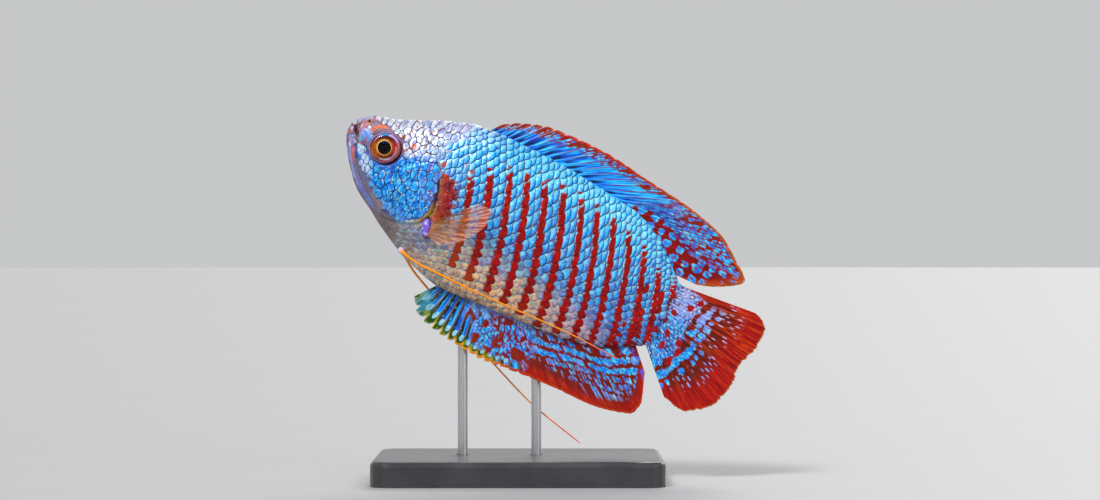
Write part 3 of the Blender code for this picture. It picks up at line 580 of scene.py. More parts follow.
def skin_tone(s, h):
    """Colour of the skin: what shows between the scales, and the bare snout, jaw and throat."""
    face = flank_tone(s, h)
    # The skin between the scales is dark: partly its own dark tone, partly painted shade of the gaps, as a darker copy
    # of the scales' colour
    between = mix(NAVY, PLUM, smooth(22, 14, s) * smooth(1, 5, h))
    sand = mix(GREY_BEIGE * 0.8, TAN * 0.75, smooth(13, 19, s))
    between = mix(between, sand, smooth(-2, -7, h - 0.1 * (s - 30)) * smooth(10, 13, s))
    tone = mix(face * 0.55, between, 0.72)
    away, number, strength = bar_field(s, h)
    wide = smooth(0.80, 0.50, np.abs(away)) * (number > 0) * (s > 17)
    # Under the bars, the gaps show a darker copy of their red as painted shade
    tone = mix(tone, bar_tone(s, h, number) * 0.55, wide * smooth(0.1, 0.5, strength))
    head = mix(rgb(158, 136, 180), rgb(150, 122, 152), smooth(1.5, 4.0, h))
    head = mix(head, rgb(172, 178, 226), 0.7 * smooth(0.5, 0.8, noise(s * 1.9, h * 1.3, 15.0)))
    head = mix(head, LILAC_WHITE, 0.6 * smooth(2.5, 4.5, s) * smooth(3.5, 6.0, h))
    head = mix(head, GREY_BEIGE, smooth(6.5, 12.0, s) * smooth(-4.0, -6.5, h))
    head = mix(head, rgb(120, 88, 112), 0.6 * smooth(0.55, 0.85, noise(s * 2.1, h * 2.1, 3.0)))
    head = mix(head, rgb(196, 132, 150), 0.4 * smooth(0.62, 0.85, noise(s * 3.3, h * 3.3, 16.0)))
    mosaic = smooth(-0.5, 0.2, mosaic_depth(s, h))
    over = smooth(-0.9, 0.7, over_eye(s, h))
    blue = mix(rgb(12, 100, 190), rgb(120, 92, 130), over)
    bare = 1 - np.maximum(scaled(s, h), smooth(14.5, 17.0, s - 0.25 * np.minimum(h, 0)))
    tone = mix(tone, head, smooth(0.25, 0.75, bare))
    tone = mix(tone, blue, mosaic)
    tone = tone * mix(1.0, 0.70, bare)
    tone = stroked(tone, s, h, HEAD_MARKS)
    tone = mix(tone, tone * 0.80, bare)
    tone = gill_streak(tone, s, h)
    belly = section(s)[1]
    low = smooth(1.3, 0.4, h - belly) * smooth(13, 18, s) * smooth(50, 44, s)
    tone = mix(tone, BEIGE * 0.8, 0.7 * low)
    ridge = smooth(0.9, 0.3, section(s)[0] - h) * smooth(21, 24, s)
    return mix(tone, CYAN, 0.9 * ridge)


def scale_tone(s, h, kind, alpha, beta, rim, luck):
    """Colour on the face of a scale of the flank or nape. kind is 0 on the columns of the bars.

    alpha runs back over the scale and beta up it, each from -1 to 1. rim is 1 at its edge.
    """
    upper = smooth(-3.0, 3.5, h)
    front = smooth(21, 15, s)
    lump = noise(s * LUMPS, h * LUMPS, 11.0)
    fine = noise(s * 5.5, h * 5.5, 12.0)
    coarse = noise(s * 1.9, h * 1.9, 13.0)
    # across runs over a scale from its lit upper left to its shaded lower right
    across = (alpha - 0.33) / 0.66 - (beta + 0.24 * upper) / 0.76 + 1.1 * (lump - 0.5)
    face = flank_tone(s, h)
    face = face * mix(1.0, np.array((0.72, 0.92, 1.04)), smooth(-7, -3, h) * smooth(11, 7, h))
    warm = smooth(-5, -8, h) * smooth(23, 28, s) * smooth(54, 50, s)
    face = face * mix(1.0, np.array((1.42, 1.20, 0.96)), warm)
    face = face * (0.72 + 0.34 * luck[:, 0])[:, None]
    middle = smooth(8, 2, h) * smooth(-9, -6, h)
    face = mix(face, LAVENDER, 0.6 * smooth(0.50, 0.95, luck[:, 1]) * middle)
    face = mix(face, CYAN, 0.6 * smooth(0.60, 0.95, luck[:, 2]) * smooth(-7, -2, h))
    shadow = face * np.array((0.28, 0.52, 0.80))
    face = mix(face, shadow, smooth(0.50, 0.28, lump) * 0.85 * (1 - 0.5 * front))
    face = mix(face, CYAN, 0.55 * smooth(0.52, 0.70, fine) * smooth(-6, -2, h))
    blush = smooth(0.60, 0.78, noise(s * 2.6, h * 2.6, 17.0)) * middle
    face = mix(face, rgb(116, 84, 140), 0.6 * blush)
    # Painted highlight: paler towards each scale's upper left, where the light from above catches it, stronger on the
    # upper flank
    pale = mix(ICE, WHITE, 0.6 * smooth(24, 15, s) * smooth(2, 5, h))
    strong = 0.36 + 0.44 * upper
    face = mix(face, pale, strong * smooth(0.0, -1.1, across) * (0.5 + 0.5 * luck[:, 3]))
    # Painted highlight on the tops of the scale's bumps; the shadow mix above paints shade in their hollows
    face = mix(face, ICE, 0.75 * smooth(0.66, 0.86, lump) * smooth(-9, -4, h))
    # Painted shade: deeper azure towards each scale's lower right, away from the light
    azure = mix(AZURE, DEEP_BLUE, 0.6 * smooth(0.6, 1.6, across))
    face = mix(face, azure, smooth(0.0, 0.9, across) * (0.30 + 0.60 * upper) * (1 - 0.65 * front))
    face = face * (0.86 + 0.28 * fine)[:, None]
    face = mix(face, rgb(196, 188, 232), 0.35 * smooth(0.7, 0.9, coarse) * smooth(-3, -7, h))
    edge = mix(DEEP_BLUE * 0.40, NAVY * 0.7, 0.5)
    edge = mix(edge, rgb(84, 60, 96), smooth(17, 12, s) * smooth(2, 5, h))
    low = smooth(-2.5, -5.5, h) * smooth(54, 48, s)
    edge = mix(edge, rgb(164, 120, 78), low)
    away, number, strength = bar_field(s, h)
    edge = mix(edge, rgb(110, 14, 36), 0.75 * (kind >= 2) * (number > 0) * (h < 11))
    # The dark rim is partly the scales' dark outline and partly painted shade, heavier where behind is 1, on the side
    # away from the light
    behind = smooth(-0.6, 0.3, across)
    face = mix(face, edge, smooth(0.78, 0.90, rim) * (0.40 + 0.58 * behind) * (1 - 0.35 * low))
    ragged = 1.5 * (noise(s * 2.6, h * 2.6, 21.0) - 0.5)
    reach = smooth(-0.25, 0.05, 2.4 * strength - 1.15 - beta + ragged * smooth(1, 4, h))
    blood = bar_tone(s, h, number) * (0.82 + 0.30 * luck[:, 1] + 0.16 * fine)[:, None]
    beside = np.abs(alpha - 0.26) / 0.72 + 0.35 * (fine - 0.5)
    reach = reach * smooth(0.10, -0.05, beside - 1.12 + 0.80 * np.maximum(beta, 0))
    # The red scales' rims are darkened the same way: dark outline with painted shade
    blood = mix(blood, blood * 0.40, smooth(0.80, 0.95, rim) * behind)
    red = (kind == 0) | ((kind == 1) & (s > 52.5) & (luck[:, 2] > 0.4))
    face = mix(face, blood, reach * red * (number > 0) * smooth(0.02, 0.12, strength))
    face = gill_streak(face, s, h)
    return freckled(face, s, h)


def mosaic_tone(s, h, rim, luck):
    """Colour on a plate of the mosaic: azure on the cheek, white and lilac on the nape."""
    lump = noise(s * LUMPS, h * LUMPS, 11.0)
    fine = noise(s * 5.5, h * 5.5, 32.0)
    face = mix(AZURE, CYAN, 0.35 * luck[:, 0]) * (0.70 + 0.45 * luck[:, 1])[:, None]
    # Painted highlight on the bumps of each plate and painted shade in its hollows, over the plates' own mottle
    face = mix(face, rgb(96, 206, 255), 0.75 * smooth(0.56, 0.80, lump))
    face = mix(face, DEEP_BLUE, 0.7 * smooth(0.42, 0.18, lump))
    rear = smooth(12.5, 14.5, s + 0.5 * h)
    face = mix(face, LAVENDER, 0.45 * rear * smooth(0.4, 0.8, luck[:, 2]))
    face = mix(face, rgb(206, 226, 252), 0.9 * smooth(5.6, 4.0, s + 0.3 * h))
    over = smooth(-0.9, 0.7, over_eye(s, h) + 1.2 * (fine - 0.5))
    nape = mix(flank_tone(s, h), WHITE, 0.55 * smooth(3.5, 1.5, np.abs(over_eye(s, h) - 2.4)))
    # On the nape as well: painted shade in the hollows and painted highlight on the bumps
    nape = mix(nape, rgb(126, 144, 220), 0.75 * smooth(0.52, 0.2, lump))
    nape = mix(nape, WHITE, 0.6 * smooth(0.55, 0.8, lump)) * (0.62 + 0.24 * luck[:, 1])[:, None]
    face = mix(face, nape, over)
    face = face * (0.84 + 0.28 * fine)[:, None]
    spark = smooth(0.60, 0.85, rim) * smooth(0.66, 0.80, noise(s * 3.1, h * 3.1, 33.0))
    face = mix(face, mix(ICE, WHITE, 0.5), 0.85 * spark)
    edge = mix(rgb(4, 74, 168), NAVY * 0.8, luck[:, 3])
    warm = mix(rgb(146, 84, 96), rgb(120, 110, 170), smooth(0.4, 0.7, noise(s * 1.6, h * 1.6, 34.0)))
    edge = mix(edge, warm, np.maximum(over, 0.5 * rear))
    face = mix(face, edge, smooth(0.88, 0.97, rim) * (0.55 + 0.4 * luck[:, 3]))
    dots = smooth(0.82, 0.92, rim) * smooth(0.78, 0.84, noise(s * 1.5, h * 1.5, 35.0)) * (s > 7)
    face = mix(face, rgb(150, 60, 26), 0.9 * dots)
    # Painted shade along the creases of the cheek: navy low down, dark red higher up
    marks = [(mix(NAVY * 0.6, rgb(90, 10, 20), 1.0 * (line[0][1] > 2)), 0.08, 0.9, line) for line in CREASES]
    face = stroked(face, s, h, marks)
    low = smooth(-5.2, -6.6, h)
    face = mix(face, mix(SKY, GREY_BEIGE, 0.4), 0.5 * low)
    border = smooth(0.7, -0.2, mosaic_depth(s, h)) * smooth(9.0, 6.0, s) * smooth(-0.5, -2.0, h)
    face = mix(face, rgb(128, 140, 196), 0.7 * border)
    return freckled(face, s, h)


def to_world(points):
    """Fish points in millimetres as world points in metres."""
    s, w, h = np.moveaxis(np.asarray(points, float), -1, 0)
    x = SNOUT_X + s * math.cos(PITCH) + h * math.sin(PITCH)
    z = SNOUT_Z - s * math.sin(PITCH) + h * math.cos(PITCH)
    return np.stack((x, w, z), axis=-1) * MM


def make(name, points, faces, look, slot, replaced=(), world=False, **attributes):
    """A piece from points and faces, with its material and named attributes. The finish slot argument is not used."""
    mesh = bpy.data.meshes.new(name)
    places = np.asarray(points, float) if world else to_world(points)
    mesh.from_pydata(places.tolist(), [], faces)
    bm = bmesh.new()
    bm.from_mesh(mesh)
    bmesh.ops.recalc_face_normals(bm, faces=bm.faces)
    bm.to_mesh(mesh)
    bm.free()
    for key, values in attributes.items():
        values = np.asarray(values, float)
        if key == "tint":
            values = np.column_stack((np.clip(values, 0, 1), np.ones(len(values))))
            mesh.attributes.new(key, "FLOAT_COLOR", "POINT").data.foreach_set("color", values.ravel())
        elif values.ndim == 2:
            mesh.attributes.new(key, "FLOAT_VECTOR", "POINT").data.foreach_set("vector", values.ravel())
        else:
            mesh.attributes.new(key, "FLOAT", "POINT").data.foreach_set("value", values)
    mesh.materials.append(look)
    mesh.shade_smooth()
    obj = bpy.data.objects.new(name, mesh)
    bpy.context.scene.collection.objects.link(obj)
    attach(obj, "root")
    if replaced:
        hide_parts(*replaced)
    return obj


def grid_faces(rows, columns, closed_rows=False, closed_columns=False, start=0):
    """Faces of a grid of points stored row by row."""
    faces = []
    for r in range(rows if closed_rows else rows - 1):
        r2 = (r + 1) % rows
        for c in range(columns if closed_columns else columns - 1):
            c2 = (c + 1) % columns
            faces.append((start + r * columns + c, start + r * columns + c2, start + r2 * columns + c2, start + r2 * columns + c))
    return faces


class Look:
    """A material's nodes, with short ways to add and join them."""

    def __init__(self, name, **settings):
        self.material = bpy.data.materials.new(name)
        self.material.use_nodes = True
        self.tree = self.material.node_tree
        self.shader = self.tree.nodes["Principled BSDF"]
        for key, value in settings.items():
            self.shader.inputs[key.replace("_", " ")].default_value = value

    def add(self, kind, inputs=(), output=0, **properties):
        node = self.tree.nodes.new("ShaderNode" + kind)
        for key, value in properties.items():
            setattr(node, key, value)
        for key, value in dict(inputs).items():
            if hasattr(value, "is_linked"):
                self.tree.links.new(value, node.inputs[key])
            else:
                node.inputs[key].default_value = value
        return node.outputs[output]

    def attribute(self, name, output="Vector"):
        return self.add("Attribute", attribute_name=name, output=output)

    def place(self):
        return self.add("TexCoord", output="Object")

    def noise(self, size, vector=None, detail=3.0):
        """Noise whose bumps are about this many metres across, or units of the vector given."""
        vector = vector or self.place()
        return self.add("TexNoise", {"Vector": vector, "Scale": 1 / size, "Detail": detail})

    def ramp(self, value, low, high, to_low=0.0, to_high=1.0):
        inputs = {"Value": value, "From Min": low, "From Max": high, "To Min": to_low, "To Max": to_high}
        return self.add("MapRange", inputs)

    def math(self, operation, a, b=0.5):
        return self.add("Math", {0: a, 1: b}, operation=operation)

    def mix(self, factor, a, b, blend="MIX"):
        return self.add("Mix", {0: factor, 6: a, 7: b}, output=2, data_type="RGBA", blend_type=blend)

    def stretch(self, vector, factors):
        return self.add("VectorMath", {0: vector, 1: factors}, operation="MULTIPLY")

    def bump(self, height, distance, strength=1.0, normal=None):
        inputs = {"Height": height, "Distance": distance, "Strength": strength}
        if normal:
            inputs["Normal"] = normal
        return self.add("Bump", inputs)

    def feed(self, **sockets):
        for key, source in sockets.items():
            self.tree.links.new(source, self.shader.inputs[key.replace("_", " ")])
        return self.material


def varied(look, size, low, high, colour=None):
    """The tint made lighter and darker by noise of this size."""
    colour = colour or look.attribute("tint", "Color")
    shade = look.ramp(look.noise(size), 0.3, 0.7, low, high)
    return look.mix(1.0, colour, look.add("CombineColor", {0: shade, 1: shade, 2: shade}), "MULTIPLY")


def scale_look():
    """Wet, shimmering scales with fine growth rings."""
    look = Look("scales", Metallic=0.30, Coat_Weight=0.16, Coat_Roughness=0.10, Specular_IOR_Level=0.15)
    colour = varied(look, 0.00016, 0.86, 1.16)
    place = look.attribute("plate")
    rings = look.add(
        "TexWave",
        {"Vector": place, "Scale": 2.6, "Distortion": 2.2, "Detail": 2.0, "Detail Scale": 1.6},
        output="Fac",
        wave_type="RINGS",
        rings_direction="SPHERICAL",
    )
    lift = look.bump(rings, 0.00002, 0.35)
    grain = look.bump(look.noise(0.00022), 0.00006, 0.5, lift)
    rough = look.ramp(look.noise(0.0004), 0.3, 0.7, 0.26, 0.44)
    return look.feed(Base_Color=colour, Roughness=rough, Normal=grain)


def skin_look():
    """Bare wet skin, finely pitted."""
    look = Look("skin", Metallic=0.05, Coat_Weight=0.22, Coat_Roughness=0.14, Specular_IOR_Level=0.2)
    colour = varied(look, 0.00018, 0.82, 1.18)
    pits = look.bump(look.noise(0.00028, detail=4.0), 0.00008, 0.6)
    rough = look.ramp(look.noise(0.0006), 0.3, 0.7, 0.3, 0.5)
    return look.feed(Base_Color=colour, Roughness=rough, Normal=pits)


def fin_look(name, **settings):
    """Thin wet membrane with fine streaks along the rays."""
    look = Look(name, Coat_Weight=0.10, Coat_Roughness=0.15, Specular_IOR_Level=0.15, **settings)
    along = look.stretch(look.attribute("ray"), (7.0, 0.9, 1.0))
    streak = look.noise(1.0, along)
    shade = look.ramp(streak, 0.3, 0.7, 0.74, 1.26)
    tint = look.attribute("tint", "Color")
    colour = look.mix(1.0, tint, look.add("CombineColor", {0: shade, 1: shade, 2: shade}), "MULTIPLY")
    ribs = look.bump(streak, 0.00006, 0.7)
    rough = look.ramp(look.noise(0.0005), 0.3, 0.7, 0.28, 0.48)
    return look, {"Base_Color": colour, "Roughness": rough, "Normal": ribs}


def skin(look):
    """The whole skin as one closed mesh, sunk below the scales where they cover it."""
    front = np.arange(NOSE_S + 0.03, 4.0, 0.055)
    head = np.arange(front[-1] + 0.1, 18.5, 0.1)
    trunk = np.linspace(head[-1] + 0.3, TAIL_S, 120)
    stations = np.concatenate((front, head, trunk))
    around = 220
    half = around // 2
    turn = np.linspace(-90, 90, half + 1)
    rings = []
    for s in stations:
        row = int(np.clip(round((s - STATIONS[0]) / 0.25), 0, len(STATIONS) - 1))
        top = UP[np.argmax(TABLE_H[row])]
        foot = UP[np.argmin(TABLE_H[row])]
        rings.append(np.where(turn < 0, -foot, top) * turn / 90)
    y = np.array(rings)
    s = np.repeat(stations[:, None], half + 1, axis=1)
    points, normals = body_frame(s, y)
    points[:, 0, 1] = 0
    points[:, -1, 1] = 0
    h = points[..., 2]
    lift = sculpt(s, h) - BARE - (COAT - BARE) * scaled(s, h)
    points = points + normals * lift[..., None]
    points[:, (0, -1), 1] = 0
    mirrored = points[:, -2:0:-1] * (1, -1, 1)
    ring = np.concatenate((points, mirrored), axis=1)
    rows, columns = ring.shape[:2]
    cloud = ring.reshape(-1, 3)
    tail = ring[-1].mean(axis=0)
    last = ring[-1].copy()
    for reach, squeeze in ((0.35, 0.82), (0.8, 0.55), (1.2, 0.3)):
        cap = last * (1, squeeze, 0.985)
        cap[:, 0] = last[:, 0] + reach
        cloud = np.vstack((cloud, cap))
    rows += 3
    faces = grid_faces(rows, columns, closed_columns=True)
    tip = cloud[:columns].mean(axis=0) - (0.02, 0, 0)
    cloud = np.vstack((cloud, tip, tail + (1.25, 0, 0)))
    nose, end = len(cloud) - 2, len(cloud) - 1
    faces += [(nose, (c + 1) % columns, c) for c in range(columns)]
    base = (rows - 1) * columns
    faces += [(end, base + c, base + (c + 1) % columns) for c in range(columns)]
    tint = skin_tone(cloud[:, 0], cloud[:, 2])
    nodes = ("head", "gill_cover_left", "gill_cover_right", "trunk", "tail_base")
    return make("skin", cloud, faces, look, "scaled_skin", nodes, tint=tint)


PLATE_RINGS = (0.26, 0.50, 0.70, 0.85, 0.94, 1.0)
PLATE_RAYS = 24
PATCH = 0.003  # size of a scale's patch on the bake map
LUMPS = 2.5  # bumps to a millimetre on the shimmering scales


def plates(name, side, look, slot, centres, spokes, ramp, lift, dome, thick, lumps, tone):
    """Closed, slightly domed plates over the skin, each with its rear edge raised.

    centres is (s, up the flank), spokes the outline of each plate round its centre, in the same
    terms, ramp the way its rear points and how steeply it rises, lift the height of its middle
    and lumps the height of the bumps on it.
    """
    n, rays = spokes.shape[:2]
    rings = np.array(PLATE_RINGS)
    offsets = spokes[:, None] * rings[None, :, None, None]
    centre_row = np.zeros((n, 1, 2))
    flat = np.concatenate((centre_row, offsets.reshape(n, -1, 2)), axis=1)
    rho = np.concatenate(([0], np.repeat(rings, rays)))
    s = centres[:, None, 0] + flat[..., 0]
    y = centres[:, None, 1] + flat[..., 1]
    points, normals = body_frame(s, y)
    rise = lift[:, None] + (flat * ramp[:, None]).sum(axis=-1)
    rise = rise + dome * (1 - rho**2) - 0.035 * (rho > 0.99)
    rise = rise + np.maximum(sculpt(s, points[..., 2]), -0.02)
    rise = rise + lumps[:, None] * (2 * noise(s * LUMPS, points[..., 2] * LUMPS, 11.0) - 1)
    top = points + normals * rise[..., None]
    outer = top[:, -rays:]
    under = outer - normals[:, -rays:] * thick
    foot = top[:, :1] - normals[:, :1] * (thick + dome + 0.42)
    cloud = np.concatenate((top, under, foot), axis=1)
    count = cloud.shape[1]
    pattern = [(0, 1 + k, 1 + (k + 1) % rays) for k in range(rays)]
    for r in range(len(rings)):
        a, b = 1 + r * rays, 1 + (r + 1) * rays
        pattern += [(a + k, b + k, b + (k + 1) % rays, a + (k + 1) % rays) for k in range(rays)]
    last = 1 + len(rings) * rays
    pattern += [(last + (k + 1) % rays, last + k, count - 1) for k in range(rays)]
    faces = [tuple(i * count + k for k in face) for i in range(n) for face in pattern]
    size = np.abs(spokes).max(axis=1)
    local = flat / size[:, None]
    local = np.concatenate((local, local[:, -rays:], np.zeros((n, 1, 2))), axis=1)
    rim = np.concatenate((rho, np.ones(rays), (1.0,)))
    tint = tone(cloud[..., 0].ravel(), cloud[..., 2].ravel(), local.reshape(-1, 2), np.tile(rim, n), count)
    # Painted shade: the underside and foot of each plate are darkened, as they lie in shade under it
    dark = np.concatenate((np.ones(len(rho)), np.full(rays + 1, 0.35)))
    tint = tint * np.tile(dark, n)[:, None]
    shuffle = np.repeat(hashed(np.arange(n), 3.0, 5.0) * 40, count)
    plate = np.column_stack((local.reshape(-1, 2), shuffle))
    cloud = cloud * (1, side, 1)
    obj = make(name, cloud.reshape(-1, 3), faces, look, slot, tint=tint, plate=plate)
    bake_map(obj, centres, local, count, side)
    return obj


def bake_map(obj, centres, local, count, side):
    """Lays each plate as a small patch at its place on the unrolled skin, the left side below the right."""
    u = (centres[:, 0] + 2.0) / 62.0
    v = (centres[:, 1] + 20.0) / 80.0 + (0.5 if side > 0 else 0.0)
    spread = local * (0.5, 0.5) * PATCH
    uv = np.stack((u, v), axis=-1)[:, None] + spread
    uv = uv.reshape(-1, 2)
    corners = np.zeros(len(obj.data.loops), dtype=int)
    obj.data.loops.foreach_get("vertex_index", corners)
    layer = obj.data.uv_layers.new(name="OFBake")
    layer.data.foreach_set("uv", uv[corners].ravel())


def columns_of_scales():
    """Each column of scales: its order, place, pitch and place in its bar, 0 for the red ones."""
    start = BARS[0] + COLUMN_SHIFT
    found = [(start - n * NAPE_PITCH, NAPE_PITCH, 1) for n in range(NAPE_COLUMNS, 0, -1)]
    for a, b in zip(BARS, BARS[1:]):
        for k, share in enumerate(COLUMN_SHARES):
            found.append((a + COLUMN_SHIFT + (b - a) * share, (b - a) / len(COLUMN_SHARES), k))
    return np.array([(n, *row) for n, row in enumerate(found)])


def row_spacing(s, h):
    """Distance between the scales of one column, smaller towards the edges, the nape and the tail."""
    back, belly = section(s)[:2]
    spacing = 1.85 - 0.45 * smooth(1.5, -5.0, h)
    spacing = spacing - (0.56 - 0.2 * smooth(1.5, -5.0, h)) * smooth(30, 19, s)
    spacing = spacing * (1 - 0.40 * smooth(44, 57, s))
    near_back = 0.56 + 0.44 * smooth(0.0, 5.5, back - h)
    near_belly = 0.62 + 0.38 * smooth(0.0, 4.5, h - belly)
    return spacing * near_back * near_belly


def flank_scales():
    """Places of the scales as s, h, place of their column in its bar, pitch and spacing."""
    order, q, pitch, kind = columns_of_scales().T
    found = []
    for way in (1, -1):
        h = np.zeros(len(q))
        row = np.zeros(len(q))
        goal = 0.5 * (order % 2) - (way < 0)
        while abs(h[0]) < 14:
            s = q - COLUMN_LEAN * h - COLUMN_BEND * h * h
            spacing = row_spacing(s, h)
            due = (row - goal) * way >= 0
            found.append(np.stack((s, h, kind, pitch, spacing), axis=-1)[due])
            goal = goal + way * due
            h = h + 0.02 * way
            row = row + 0.02 * way / spacing
    rows = np.concatenate(found)
    s, h = rows[:, 0], rows[:, 1]
    back, belly = section(s)[:2]
    keep = (h < back - 0.15) & (h > belly + 0.25) & (s < TAIL_S + 0.3)
    edge, side, along = line_field(s, h, GILL_EDGE)
    behind = (side < 0) & (edge > 0.5)
    keep &= np.where(s < 13.9, behind & (h < -8.2) & (s > 11.5), behind | (h > 4.8))
    return rows[keep & ~inside(s + 0.3, h, MOSAIC)]


def flank_coat(side, look):
    rows = flank_scales()
    s, h, kind, pitch, spacing = rows.T
    ids = np.arange(len(rows))
    stray = 0.20 + 0.20 * smooth(22, 16, s)
    s = s + stray * (hashed(ids, 1.0, side) - 0.5)
    h = h + stray * (hashed(ids, 2.0, side) - 0.5)
    lean = COLUMN_LEAN + 2 * COLUMN_BEND * h
    upper = smooth(-6.0, 3.0, h)
    column = np.stack((-lean * spacing, spacing), axis=-1)
    diagonal = np.stack((pitch - 0.5 * lean * spacing, 0.5 * spacing), axis=-1)
    level = np.stack((pitch, 0 * pitch), axis=-1)
    along = mix(level * 1.06, diagonal * 0.80, upper)
    across = mix(column * 0.60, column * 0.66, upper)
    shift = mix(level * -0.22, diagonal * -0.22 + column * 0.12, upper)
    power = (2.15 + 0.2 * upper)[:, None]
    angle = np.linspace(0, 2 * np.pi, PLATE_RAYS, endpoint=False)[None]
    radius = (np.abs(np.cos(angle)) ** power + np.abs(np.sin(angle)) ** power) ** (-1 / power)
    turns = 6.28 * hashed(ids[:, None], np.array([[1.0, 2.0]]), 3.0 + side)
    radius = radius * (1 + 0.05 * np.sin(2 * angle + turns[:, :1]) + 0.04 * np.sin(3 * angle + turns[:, 1:]))
    x, y = radius * np.cos(angle), radius * np.sin(angle)
    spokes = x[..., None] * along[:, None] + y[..., None] * across[:, None]
    middle_s, middle_h = s + shift[:, 0], h + shift[:, 1]
    place, rate = up_at(middle_s, middle_h)
    spokes = spokes * np.stack((np.ones(len(rows)), rate), axis=-1)[:, None]
    centres = np.stack((middle_s, place), axis=-1)
    steep = 0.072 + 0.032 * upper
    ramp = np.stack((steep * 0.98, steep * (-0.03 - 0.15 * upper)), axis=-1)
    luck = hashed(ids[:, None], np.arange(4)[None] + 10.0 * side, 7.0)
    inverse = np.linalg.inv(np.stack((along, across), axis=-1))
    lumps = np.full(len(rows), 0.06)
    lift = -0.06 - 0.05 * smooth(2.2, 0.6, section(s)[0] - h)

    def piece(word, part):
        def tone(ps, ph, local, rim, count):
            who = np.repeat(ids[part], count)
            offset = np.stack((ps - middle_s[who], ph - middle_h[who]), axis=-1)
            alpha, beta = np.einsum("nij,nj->in", inverse[who], offset)
            limit = np.clip(alpha, -1.2, 1.2), np.clip(beta, -1.2, 1.2)
            return scale_tone(ps, ph, kind[who].astype(int), *limit, rim, luck[who])

        shape = centres[part], spokes[part], ramp[part], lift[part]
        plates("scales_" + word, side, look, "scaled_skin", *shape, 0.03, 0.07, lumps[part], tone)

    word = "left" if side < 0 else "right"
    piece("upper_" + word, h > 1.5)
    piece("lower_" + word, h <= 1.5)


def mosaic_seeds():
    """Places of the mosaic's plates, thrown at random but never too close together.

    The throws reach beyond its outline, so that the plates at its edge end like the others.
    """
    random = np.random.default_rng(12)
    outline = np.array(MOSAIC)
    low, high = outline.min(axis=0) - 1.5, outline.max(axis=0) + 1.5
    kept = np.zeros((0, 2))
    thrown = random.uniform(low, high, (24000, 2))
    far = np.hypot(thrown[:, 0] - EYE[0], thrown[:, 1] - EYE[1]) > 2.95
    for s, h in thrown[far & (thrown[:, 1] < section(thrown[:, 0])[0] - 0.2)]:
        over = float(smooth(0.0, 3.0, over_eye(s, h)))
        room = 0.90 - 0.28 * float(smooth(11.0, 15.0, s - 0.8 * (h + 4))) - 0.10 * over
        room -= 0.24 * float(smooth(-0.5, -2.5, h + 0.55 * (s - 4.0))) * (1 - over) * float(smooth(12, 9, s))
        room = max(room - 0.16 * float(smooth(5.2, 3.8, s)), 0.46)
        away = (kept[:, 0] - s) ** 2 + ((kept[:, 1] - h) * MOSAIC_STRETCH) ** 2
        if not np.any(away < room * room):
            kept = np.vstack((kept, (s, h)))
    turn = np.linspace(0, 2 * np.pi, 40, endpoint=False)
    orbit = np.column_stack((EYE[0] + 2.5 * np.cos(turn), EYE[1] + 2.5 * np.sin(turn)))
    drawn = np.concatenate((inside(kept[:, 0], kept[:, 1], MOSAIC), np.zeros(len(orbit), bool)))
    return np.vstack((kept, orbit)), drawn


def mosaic_coat(side, look):
    """Flat many-sided plates with thin creases between them, on the cheek, gill cover and nape."""
    every, drawn = mosaic_seeds()
    seeds = every[drawn]
    n = len(seeds)
    ids = np.arange(n)
    place, rate = up_at(seeds[:, 0], seeds[:, 1])
    angle = np.linspace(0, 2 * np.pi, PLATE_RAYS, endpoint=False)
    gap = 0.02
    sharp = 18
    total = np.zeros((n, PLATE_RAYS))
    for i in range(n):
        away = (every - seeds[i]) * (1, MOSAIC_STRETCH)
        distance = np.hypot(away[:, 0], away[:, 1])
        close = (distance > 0) & (distance < 3.2)
        facing = np.cos(angle[None] - np.arctan2(away[close, 1], away[close, 0])[:, None])
        wall = (distance[close] / 2 - gap)[:, None] / np.maximum(facing, 0.02)
        total[i] = (wall**-sharp).sum(axis=0)
    radius = np.minimum(total ** (-1 / sharp), 1.15)
    up = radius * np.sin(angle) / MOSAIC_STRETCH
    spokes = np.stack((radius * np.cos(angle), up * rate[:, None]), axis=-1)
    centres = np.stack((seeds[:, 0], place), axis=-1)
    tilt = 0.05 + 0.02 * smooth(0, 2, over_eye(*seeds.T))
    ramp = np.stack((tilt, -0.3 * tilt), axis=-1)
    luck = hashed(ids[:, None], np.arange(4)[None] + 30.0 * side, 9.0)
    lift = -0.05 + 0.04 * hashed(ids, 4.0, 2.0) - 0.03 * smooth(2.0, 0.6, section(seeds[:, 0])[0] - seeds[:, 1])

    def tone(ps, ph, local, rim, count):
        return mosaic_tone(ps, ph, rim, luck[np.repeat(ids, count)])

    word = "left" if side < 0 else "right"
    shape = centres, spokes, ramp, lift
    return plates("scales_head_" + word, side, look, "scaled_skin", *shape, 0.03, 0.12, np.full(n, 0.05), tone)


